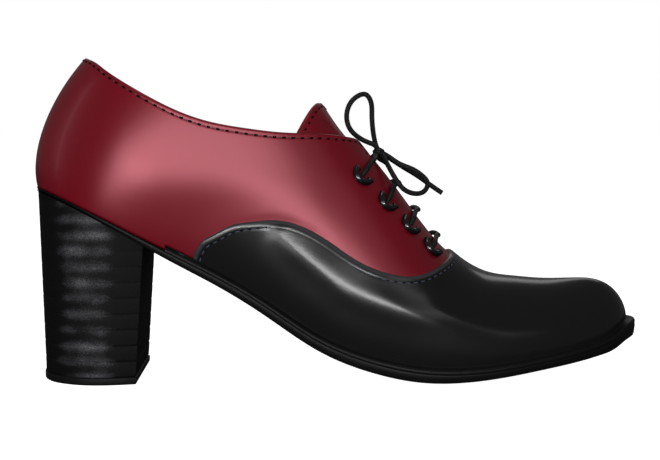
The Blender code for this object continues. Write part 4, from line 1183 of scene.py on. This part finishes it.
def build_vamp(looks):
    """The black vamp over the quarters, with a cut edge, a bevel and a stitch groove; its material
    paints the edge and bevel grey, partly as painted highlight.
    """
    first = vamp_first_rib()
    foot = float(place_along(THROAT_FOOT_SHARE))
    rear = float(last_point(first, 0.0)[0])
    u = spaced_ribs(first, vamp_tops, [foot, rear])
    top = vamp_tops(u)
    edge = u <= FOOT_RIB + TOUCHING
    up_the_rear = np.linspace(0, top[0], REAR_POINTS + 1)[:-1]
    edge_u = np.concatenate([np.full(REAR_POINTS, first), u[edge]])
    edge_t = np.concatenate([up_the_rear, top[edge]])
    outer_line, inner_line = last_point(edge_u, edge_t), last_point(2 * TOE_ROW - edge_u, edge_t)
    line = np.concatenate([outer_line, inner_line[::-1]])
    u = both_sides(u)
    t = rib_grid(u, vamp_tops(u))
    base = last_point(u[:, None], t)
    distance = distance_to(base, line)
    bevel = np.clip(distance / BEVEL_REACH, 0, 1)
    start, rise, rest = VAMP_LAYERS
    share = start + rise * rounding(distance, CUT_EDGE) + rest * bevel * (2 - bevel)
    outer = CLEARANCE + VAMP_WALL * share + VAMP_GROOVE * groove(distance, VAMP_STITCH)
    outer = outer + soft_ridge(base, VAMP_RIDGE, VAMP_RIDGE_SIZE, VAMP_RIDGE_FADES)
    inner = np.full(outer.shape, CLEARANCE * VAMP_INSIDE)
    vamp = sheet_object("vamp_leather", u, t, outer, inner, [looks["vamp"]], 0)
    keep_distance(vamp, line)
    install(vamp, "black_leather", "vamp")
    return stitch_path(u, t, distance, VAMP_STITCH), u


def keep_distance(obj, line):
    """Keeps each point's distance from the line on the mesh, for the material."""
    points = np.empty(len(obj.data.vertices) * 3)
    obj.data.vertices.foreach_get("co", points)
    attribute = obj.data.attributes.new("edge_distance", "FLOAT", "POINT")
    attribute.data.foreach_set("value", distance_to(points.reshape(-1, 3), line).astype(np.float32))


def build_vamp_stitches(looks, path, u):
    """Blue-black threads with black gaps along the vamp's edge, down to the sole at both ends."""
    high = VAMP_WALL + CLEARANCE - GROOVE_DEPTH * THREAD_SUNK
    ribs, places = path
    row = int(np.argmin(np.abs(u - ribs[0])))
    low = np.linspace(LOWEST_STITCH, places[0], REAR_POINTS)[:-1]
    down = np.full(len(low), u[row])
    up = 2 * TOE_ROW - down
    whole = (np.concatenate([down, ribs, up]), np.concatenate([low, places, low[::-1]]))
    points, normals = on_surface(whole, high)
    stitch_row("vamp_threads", points, normals, looks["blue_thread"], "black_leather")
    stitch_row("vamp_thread_gaps", points, normals, looks["black_thread"], "black_leather")


def tongue_grid(long, wide):
    """The tongue's ribs, places and depth under the last's surface."""
    v = np.repeat(np.linspace(0, 1, long)[:, None], wide, axis=1)
    w = np.repeat(np.linspace(-1, 1, wide)[None, :], long, axis=0)
    depth = table_curve(TONGUE_COLUMNS, TONGUE_ROWS, "depth")(v)
    side = table_curve(TONGUE_COLUMNS, TONGUE_ROWS, "side")(v)
    end_row = TONGUE_TIP_ROW + (TONGUE_CORNER_ROW - TONGUE_TIP_ROW) * np.abs(w)
    u = TONGUE_FOOT_ROW + (end_row - TONGUE_FOOT_ROW) * v
    u = np.where(w > 0, 2 * TOE_ROW - u, u)
    return u, 1 - side * np.abs(w), (UPPER_WALL + CLEARANCE) * depth


def build_tongue(looks):
    """The tongue under the facings, with rounded edges and a row of stitches round them."""
    long, wide = TONGUE_GRID
    u, t, under = tongue_grid(long, wide)
    base = layer_point(u, t, -under)
    line = np.concatenate([base[:, 0], base[-1, 1:], base[-2::-1, -1]])
    distance = distance_to(base, line)
    half = TONGUE_WALL / 2
    roll = half * rounding(distance, half)
    outer = layer_point(u, t, -under - half + roll + groove(distance, TONGUE_STITCH))
    inner = layer_point(u, t, -under - half - roll)
    points = np.concatenate([outer.reshape(-1, 3), inner.reshape(-1, 3)])
    faces = np.concatenate([grid_quads(long, wide), grid_quads(long, wide, long * wide, flip=True)])
    choice = np.repeat([0, 1], len(faces) // 2)
    tongue = mesh_object("tongue_leather", points, faces, [looks["patent"], looks["lining"]], choice)
    install(tongue, "red_tongue", "tongue")
    end = distance_to(base, base[-1])
    ribs, places, depths = [], [], []
    for row in range(TONGUE_STITCH_SPARE, wide - TONGUE_STITCH_SPARE):
        i = np.flatnonzero(end[:, row] >= TONGUE_STITCH)[-1]
        ribs.append(u[i, row])
        places.append(t[i, row])
        depths.append(under[i, row])
    ribs, places, heights = np.array(ribs), np.array(places), -np.array(depths)
    points = layer_point(ribs, places, heights)
    normals = last_normal(ribs, places)
    stitch_row("tongue_stitches", points, normals, looks["black_thread"], "red_tongue")


def sole_outline(u, margin):
    """The outline that lies this far outside the feather line."""
    x0, y0 = feather(u)
    normal_x, normal_y = outward(u)
    return x0 + normal_x * margin, y0 + normal_y * margin


def sole_edge_height(x):
    """The height of the sole's lower edge."""
    return seat(x) - CLEARANCE - SOLE_THICKNESS * SEAT_CURVES["sole"](share_along(x))


def sole_bottom(x, middle):
    """The sole's underside: lower in the middle, and flat where it stands on the floor."""
    crown = SOLE_CROWN * SEAT_CURVES["crown"](share_along(x)) * middle
    return np.maximum(sole_edge_height(x) - crown, 0.0)


def build_sole(looks):
    """The outsole with rounded edges, thin under the seat and crowned under the ball."""
    u = np.linspace(0.0, TOE_ROW, SOLE_RIBS)
    across = np.linspace(0, 1, SOLE_ACROSS)
    margin = SOLE_MARGIN * RIBS["margin"](u)
    middle = 1 - (2 * np.repeat(across[None, :], len(u), axis=0) - 1) ** 2

    def leaf(inset):
        outer_x, outer_y = sole_outline(u, margin - inset)
        inner_x, inner_y = sole_outline(2 * TOE_ROW - u, margin - inset)
        x = outer_x[:, None] * (1 - across) + inner_x[:, None] * across
        return x, outer_y[:, None] * (1 - across) + inner_y[:, None] * across

    top_x, top_y = leaf(SOLE_RIM[0][1] * MM)
    low_x, low_y = leaf(SOLE_EDGE_SOFT + SOLE_DRAFT)
    top = np.stack([top_x, top_y, seat(top_x) - CLEARANCE], axis=-1).reshape(-1, 3)
    bottom = np.stack([low_x, low_y, sole_bottom(low_x, middle)], axis=-1).reshape(-1, 3)
    points = [top, bottom]
    faces = [grid_quads(*middle.shape), grid_quads(*middle.shape, len(top), flip=True)]
    around = np.linspace(0, 2 * TOE_ROW, RIM_RIBS)[:-1]
    around_margin = SOLE_MARGIN * RIBS["margin"](around)
    for share, inset in SOLE_RIM:
        x, y = sole_outline(around, around_margin - inset * MM)
        high, low = seat(x) - CLEARANCE, np.maximum(sole_edge_height(x), 0.0)
        points.append(np.stack([x, y, high + (low - high) * share], axis=-1))
    rim = np.array(ring_faces(len(SOLE_RIM), len(around), 2 * len(top)))
    faces.append(rim[:, [1, 0, 3, 2]])
    sole = mesh_object(
        "sole_body", np.concatenate(points), np.concatenate(faces), [looks["sole"]], merge=1e-5
    )
    install(sole, "black_sole", "outsole")


def build_welt(looks):
    """The sloped ledge round the forefoot, with a lip at the upper and a rounded outer rim."""
    share = np.linspace(1.0, TOE_ROW, WELT_STEPS)
    start = float(np.interp(WELT_START_SHARE, RIBS["at"](share), share))
    u = np.linspace(start, 2 * TOE_ROW - start, WELT_RIBS)
    outer = SOLE_MARGIN * RIBS["margin"](u)
    inner = VAMP_WALL + 2 * CLEARANCE
    lip = WELT_HEIGHT * WELT_LIP
    section = [(inner, -CLEARANCE, 0), (inner, lip, 0)]
    section += [(inner + out * MM, lip + above * MM, 0) for out, above in WELT_LIP_RIM]
    section += [(-inset * MM, WELT_EDGE + above * MM, 1) for inset, above in WELT_RIM]
    section += [(0.0, 0.0, 1), (-WELT_FOOT_INSET, -CLEARANCE, 1)]
    rings = []
    for place, height, from_rim in section:
        x, y = sole_outline(u, place + outer * from_rim)
        rings.append(np.stack([x, y, seat(x) + height], axis=-1))
    points = np.stack(rings, axis=1)
    rows, columns = points.shape[:2]
    faces = [tuple(face) for face in grid_quads(rows, columns)]
    index = np.arange(rows * columns).reshape(rows, columns)
    last = columns - 1
    for i in range(rows - 1):
        faces.append((index[i, last], index[i, 0], index[i + 1, 0], index[i + 1, last]))
    faces += [tuple(index[0]), tuple(index[-1][::-1])]
    welt = mesh_object("welt_strip", points.reshape(-1, 3), faces, [looks["welt"]], sharp=60)
    outwards(welt)
    install(welt, "black_welt", "welt")


def heel_half(points):
    """The heel's half outline as a smooth line of shares, from its back to its breast."""
    order = np.arange(len(HEEL_OUTLINE), dtype=float)
    places = np.linspace(0, order[-1], points)
    along = natural_spline(order, column(HEEL_COLUMNS, HEEL_OUTLINE, "along"))(places)
    half = natural_spline(order, column(HEEL_COLUMNS, HEEL_OUTLINE, "half"))(places)
    return np.clip(along, 0, 1), np.clip(half, 0, None)


def heel_ring(height, proud=0.0):
    """The heel's outline at a height: half round at the back, straight across at the breast."""
    lift = height / HEEL_HEIGHT
    along, half = heel_half(HEEL_POINTS)
    bottom_x = -HEEL_LENGTH / 2 - proud + along * (HEEL_LENGTH + 2 * proud)
    bottom_y = half * (HEEL_WIDTH + 2 * proud)
    back = SEAT_BACK + HEEL_INSET
    top_x = back + along * (HEEL_LENGTH / 2 + HEEL_BREAST_RAKE - back)
    top_y = half * (HEEL_WIDTH - 2 * HEEL_INSET)
    x = bottom_x * (1 - lift) + top_x * lift
    y = bottom_y * (1 - lift) + top_y * lift
    outer = np.stack([x, -y], axis=-1)
    inner = np.stack([x, y], axis=-1)[1:]
    breast_y = np.linspace(y[-1], -y[-1], BREAST_POINTS)[1:-1]
    breast = np.stack([np.full(len(breast_y), x[-1]), breast_y], axis=-1)
    return np.concatenate([outer[::-1], inner, breast])


def ring_stack(name, rings, materials, sharp=50):
    """A closed solid through rings of equally many points."""
    count = len(rings[0])
    faces = ring_faces(len(rings), count)
    faces.append(tuple(range(count))[::-1])
    faces.append(tuple((len(rings) - 1) * count + k for k in range(count)))
    obj = mesh_object(name, np.concatenate(rings), faces, materials, sharp=sharp)
    outwards(obj)
    return obj


def build_heel(looks):
    """The stack of lifts, each a little rounded at its joints, cut to the sole above."""
    rings = []
    for number in range(LIFT_COUNT + 2):
        low = TOP_PIECE_THICKNESS + number * LIFT_PITCH
        for share, inset in LIFT_RIM:
            height = low + share * LIFT_PITCH
            flat = heel_ring(height, -inset * MM)
            under = sole_bottom(flat[:, 0], 0.0) - CLEARANCE * HEEL_UNDER_SOLE
            rings.append(np.column_stack([flat, np.minimum(height, under)]))
    heel = ring_stack("heel_stack", rings, [looks["heel"]], sharp=60)
    install(heel, "stacked_heel", "heel")


def build_top_piece(looks):
    """The thin piece under the heel, with rounded rims."""
    rings = []
    for height, inset in TOP_PIECE_RIM:
        flat = heel_ring(height * MM, TOP_PIECE_PROUD - inset * MM)
        rings.append(np.column_stack([flat, np.full(len(flat), height * MM)]))
    piece = ring_stack("top_piece_rubber", rings, [looks["rubber"]])
    install(piece, "top_piece", "heel_top_piece")


def build_insole(looks):
    """The solid insole stays, with the lining's leather on it."""
    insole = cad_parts["insole"]
    insole.data.materials.clear()
    insole.data.materials.append(looks["insole"])


def tube(name, route, radii, material, sides=16):
    """A round tube along points, with its own coordinates: along in millimetres and round it."""
    route = np.asarray(route, float)
    ahead = np.gradient(route, axis=0)
    ahead /= np.linalg.norm(ahead, axis=1, keepdims=True)
    side = np.cross(ahead[0], (0.3, 0.2, 1.0))
    side /= np.linalg.norm(side)
    rings, distance = [], 0.0
    lengths = [0.0]
    for i, point in enumerate(route):
        side = side - ahead[i] * (side @ ahead[i])
        side /= np.linalg.norm(side)
        other = np.cross(ahead[i], side)
        angle = np.linspace(0, 2 * math.pi, sides, endpoint=False)[:, None]
        rings.append(point + radii[i] * (np.cos(angle) * side + np.sin(angle) * other))
        if i:
            distance += float(np.linalg.norm(point - route[i - 1]))
            lengths.append(distance)
    points = np.concatenate(rings)
    faces, coordinates = ring_faces(len(route), sides), []
    for i in range(len(route) - 1):
        low, high = lengths[i] / MM, lengths[i + 1] / MM
        for k in range(sides):
            a, b = k / sides * BRAID_GIRTH, (k + 1) / sides * BRAID_GIRTH
            coordinates += [(low, a), (low, b), (high, b), (high, a)]
    faces.append(tuple(range(sides))[::-1])
    last = (len(route) - 1) * sides
    faces.append(tuple(last + k for k in range(sides)))
    coordinates += [(0, 0)] * (2 * sides)
    mesh = bpy.data.meshes.new(name)
    mesh.from_pydata(points.tolist(), [], faces)
    layer = mesh.uv_layers.new(name="along")
    layer.data.foreach_set("uv", np.array(coordinates, np.float32).reshape(-1))
    mesh.materials.append(material)
    mesh.shade_smooth()
    mesh.set_sharp_from_angle(angle=math.radians(60))
    obj = bpy.data.objects.new(name, mesh)
    bpy.context.scene.collection.objects.link(obj)
    return obj


def smooth_route(route, step=ROUTE_STEP):
    """Points at even steps on a smooth curve through the route's points."""
    route = np.asarray(route, float)
    along = line_length(route)
    places = np.linspace(0, along[-1], max(8, round(along[-1] / step)))
    return np.stack([natural_spline(along, route[:, k])(places) for k in range(3)], axis=1)


def rib_through(x, z):
    """The rib and the place on it that the outer side shows at this x and z."""
    u = np.linspace(FIRST_EYELET_RIB, FOOT_RIB, EYELET_STEPS)
    grid_x, _, grid_z, t = scanned(u)
    places = first_rise(grid_z - z, t)
    shown_x = last_point(u, places)[:, 0]
    rib = float(np.interp(x, shown_x, u))
    return rib, float(np.interp(rib, u, places))


def facing_line():
    """The height of the facing's line over x."""
    shares = (FACING_CORNER_SHARE + FACING_CORNER_EASE, THROAT_FOOT_SHARE - FACING_FOOT_EASE)
    ends = [last_point(ridge_rib(share), 1.0) for share in shares]
    x = [float(place_along(share)) for share in shares]
    slope = (ends[1][2] - ends[0][2]) / (x[1] - x[0])
    return lambda place: ends[0][2] + slope * (place - x[0])


def eyelet_places():
    """The rib and the place on it of each outer eyelet, from the top one down."""
    line = facing_line()
    places = []
    for at, drop, _ in EYELET_ROWS:
        x = float(place_along(at))
        places.append(rib_through(x, float(line(x)) - drop * INSTEP_DEPTH))
    return places


def frame_at(u, t, places):
    """A place by the throat with three directions: along the eyelets, down from them, outwards."""
    point, normal = last_point(u, t), last_normal(u, t)
    run = last_point(*places[-1]) - last_point(*places[0])
    run[1] *= -side_sign(u)
    toe = run - normal * np.dot(run, normal)
    toe = toe / np.linalg.norm(toe)
    down = np.cross(toe, normal) * -side_sign(u)
    return point, toe, down, normal


def build_eyelets(looks, places):
    """Each eyelet is an enamelled wire bent round its hole, with a bead at each end, and a black dish
    of painted shade for the hole's mouth.
    """
    for number, (rib, t) in enumerate(places, 1):
        for side, u in (("outer", rib), ("inner", 2 * TOE_ROW - rib)):
            point, toe, down, normal = frame_at(u, t, places)
            angle = np.radians(np.linspace(-EYELET_SWEEP, EYELET_SWEEP, EYELET_POINTS))
            share = np.linspace(-1, 1, len(angle))
            end = 1 - np.abs(share)
            bead = EYELET_BEAD * np.exp(-((end / EYELET_BEAD_REACH) ** 2))
            radii = EYELET_GIRTH / 2 * (1 + bead) * rounding(end, EYELET_TIP)
            radii = np.maximum(radii, EYELET_WIRE * EYELET_THINNEST)
            away = EYELET_DEPTH * np.cos(angle) - EYELET_RISE
            route = point + EYELET_LENGTH / 2 * np.sin(angle)[:, None] * toe + away[:, None] * down
            sunk = EYELET_WIRE * (EYELET_SET[0] + EYELET_SET[1] * np.abs(share) ** 3)
            wire_name = f"eyelet_wire_{side}_{number}"
            wire = tube(wire_name, route + sunk[:, None] * normal, radii, looks["eyelet"], sides=20)
            install(wire, "black_eyelet", f"eyelet_{side}_{number}")
            build_hole_shade(f"eyelet_hole_shade_{side}_{number}", point, toe, down, normal, looks["hole"])


def build_hole_shade(name, point, toe, down, normal, material):
    """Painted shade for the hole's dark mouth: a shallow black dish with a soft rim, just over the
    leather.
    """
    angle = np.linspace(0, 2 * math.pi, HOLE_SIDES, endpoint=False)[:, None]
    around = np.cos(angle) * toe + np.sin(angle) * down
    rings = []
    for share, height in HOLE_SHADE_DISH:
        radius = EYELET_HOLE / 2 * share + TOUCHING
        rings.append(point + radius * around + height * MM * normal)
    faces = ring_faces(len(rings), HOLE_SIDES)
    install(mesh_object(name, np.concatenate(rings), faces, [material]), "black_eyelet")


def bar_points(number, place):
    """A lace's run from the outer hole up to the ridge, just off the leather."""
    u, t = place
    x = float(last_point(u, t)[0]) + EYELET_ROWS[number][EYELET_COLUMNS.index("lead")] * LAST_LENGTH
    top = ridge_rib(float(share_along(x)))
    steps = np.linspace(0, 1, BAR_POINTS)
    height = np.full(BAR_POINTS, LACE_DIAMETER / 2 + 2 * CLEARANCE)
    ribs, rise = u + (top - u) * steps, t + (1 - t) * steps
    return layer_point(ribs, rise, height), layer_point(2 * TOE_ROW - ribs, rise, height)


def through_hole(u, t, points):
    """The run's points with the lace's way up through its hole before them."""
    point, normal = last_point(u, t), last_normal(u, t)
    behind = [point - depth * MM * normal for depth in LACE_BEHIND_HOLE]
    return np.concatenate([behind, points[1:]])


def build_laces(looks, places):
    """The lace's bars over the throat, each up through one eyelet and down through the other."""
    radius = LACE_DIAMETER / 2
    for number, place in enumerate(places):
        u, t = place
        outer, inner = bar_points(number, place)
        outer = through_hole(u, t, outer)
        inner = through_hole(2 * TOE_ROW - u, t, inner)
        if number:
            route = smooth_route(np.concatenate([outer, inner[-2::-1]]))
            bar = tube(f"lace_run_{number + 1}", route, np.full(len(route), radius), looks["lace"])
            install(bar, "black_lace", f"lace_bar_{number + 1}")
            continue
        for side, rise, end in (("outer", outer, BAR_END_OUTER), ("inner", inner, BAR_END_INNER)):
            route = smooth_route(np.concatenate([rise[:BAR_KEPT], bow_points([end])]))
            bar = tube(f"lace_run_1_{side}", route, np.full(len(route), radius), looks["lace"])
            install(bar, "black_lace", f"lace_bar_1_{side}")


def build_bow(looks):
    """The bow: two loops, two ends and the knot that they leave."""
    knot = build_knot(looks)
    short = build_strand(looks, "end_short", END_SHORT_ROUTE)[0]
    strands = (
        ("loop_up", LOOP_UP_ROUTE, "knot", [knot]),
        ("loop_front", LOOP_FRONT_ROUTE, "knot", [knot]),
        ("end_long", END_LONG_ROUTE, "bare", [short, knot]),
    )
    for name, points, far_end, pieces in strands:
        strand, route = build_strand(looks, name, points)


def bow_points(route):
    """The route's points, moved to the ridge under the knot."""
    return last_point(ridge_rib(KNOT_SHARE), 1.0) + np.array(route) * MM


def build_strand(looks, name, points):
    """One strand of the bow, which starts inside the knot, and a loop ends in it too."""
    points = [KNOT_CENTRE, *points]
    if "loop" in name:
        points.append(KNOT_CENTRE)
    route = smooth_route(bow_points(points))
    strand = tube(f"bow_{name}", route, np.full(len(route), LACE_DIAMETER / 2), looks["lace"])
    return install(strand, "black_lace", f"lace_{name}"), route


def build_knot(looks):
    """The knot: the lace wound once and a half round the strands that it holds."""
    centre = bow_points([KNOT_CENTRE])[0]
    turn = np.radians(np.linspace(*KNOT_TURN, KNOT_POINTS))
    axis = np.array(KNOT_AXIS)
    axis /= np.linalg.norm(axis)
    side = np.cross(axis, (0, 1, 0))
    side /= np.linalg.norm(side)
    other = np.cross(axis, side)
    along = np.linspace(-1, 1, len(turn)) * KNOT_SPREAD * MM
    round_axis = np.cos(turn)[:, None] * side + np.sin(turn)[:, None] * other
    route = centre + KNOT_COIL * MM * round_axis + along[:, None] * axis
    knot = tube("bow_knot", route, np.full(len(route), KNOT_STRAND), looks["lace"])
    return install(knot, "black_lace", "lace_knot")


def seen_white(nodes, links, dim, seen):
    """A shader that the camera sees as white, while the shoe gets only its dim version."""
    mix = nodes.new("ShaderNodeMixShader")
    path = nodes.new("ShaderNodeLightPath")
    links.new(path.outputs["Is Camera Ray"], mix.inputs["Fac"])
    links.new(dim.outputs[0], mix.inputs[1])
    links.new(seen.outputs[0], mix.inputs[2])
    return mix.outputs[0]


def build_surround():
    """A surround that the camera sees as white, with only a little light in it."""
    world = bpy.data.worlds.new("surround")
    bpy.context.scene.world = world
    world.use_nodes = True
    nodes, links = world.node_tree.nodes, world.node_tree.links
    dim = nodes["Background"]
    dim.inputs["Color"].default_value = WHITE
    dim.inputs["Strength"].default_value = SURROUND_LIGHT
    seen = nodes.new("ShaderNodeBackground")
    seen.inputs["Color"].default_value = WHITE
    seen.inputs["Strength"].default_value = 1.0
    links.new(seen_white(nodes, links, dim, seen), nodes["World Output"].inputs["Surface"])


def build_floor():
    """A plain white floor that throws little light back up at the shoe."""
    material, shader = shader_of("floor_white", FLOOR_WHITE, 0.9, Specular_IOR_Level=0.0)
    shader.inputs["Emission Color"].default_value = WHITE
    shader.inputs["Emission Strength"].default_value = FLOOR_GLOW
    nodes, links = material.node_tree.nodes, material.node_tree.links
    dim = nodes.new("ShaderNodeBsdfDiffuse")
    dim.inputs["Color"].default_value = (FLOOR_BOUNCE, FLOOR_BOUNCE, FLOOR_BOUNCE, 1)
    links.new(seen_white(nodes, links, dim, shader), nodes["Material Output"].inputs["Surface"])
    corners = [(x * FLOOR_HALF, y * FLOOR_HALF, 0) for x, y in ((-1, -1), (1, -1), (1, 1), (-1, 1))]
    mesh_object("floor", corners, [(0, 1, 2, 3)], [material])


def direction(azimuth, rise):
    """The direction at this azimuth and rise, in degrees."""
    turn, lift = math.radians(azimuth), math.radians(rise)
    level = math.cos(lift)
    return Vector((math.sin(turn) * level, -math.cos(turn) * level, math.sin(lift)))


def soft_box(name, from_azimuth, from_rise, to_azimuth, to_rise, reach, width, power):
    """A rectangular lamp that faces the shoe's middle and runs between the two directions."""
    first = direction(from_azimuth, from_rise) * reach
    last = direction(to_azimuth, to_rise) * reach
    away = ((first + last) / 2).normalized()
    along = (last - first).normalized()
    data = bpy.data.lights.new(name, "AREA")
    data.shape = "RECTANGLE"
    data.size, data.size_y = (last - first).length, width
    data.energy = power
    lamp = bpy.data.objects.new(name, data)
    lamp.visible_camera = False
    axes = Matrix((along, away.cross(along), away)).transposed()
    lamp.matrix_world = Matrix.Translation(SHOE_MIDDLE + (first + last) / 2) @ axes.to_4x4()
    bpy.context.scene.collection.objects.link(lamp)


def build_lights():
    """The soft boxes of the studio."""
    for values in SOFT_BOXES:
        soft_box(**dict(zip(BOX_COLUMNS, values)))


def build_camera():
    """The camera at the photo's angle."""
    back = direction(CAMERA_TURN, CAMERA_RISE)
    data = bpy.data.cameras.new("photo_camera")
    data.sensor_width = 36.0
    data.lens = CAMERA_LENS
    camera = bpy.data.objects.new("photo_camera", data)
    camera.location = (Vector(CAMERA_TARGET) + back * CAMERA_DISTANCE) * MM
    camera.rotation_euler = (-back).to_track_quat("-Z", "Y").to_euler()
    bpy.context.scene.collection.objects.link(camera)
    bpy.context.scene.camera = camera


def main():
    build_camera()
    looks = make_materials()
    build_surround()
    build_floor()
    build_lights()
    places = eyelet_places()
    build_laces(looks, places)
    build_bow(looks)
    build_eyelets(looks, places)
    topline_path = build_quarters(looks)
    build_topline_stitches(looks, topline_path)
    vamp_path, ribs = build_vamp(looks)
    build_vamp_stitches(looks, vamp_path, ribs)
    build_tongue(looks)
    build_sole(looks)
    build_welt(looks)
    build_heel(looks)
    build_top_piece(looks)
    build_insole(looks)
    bpy.context.scene.view_settings.view_transform = "Standard"


main()
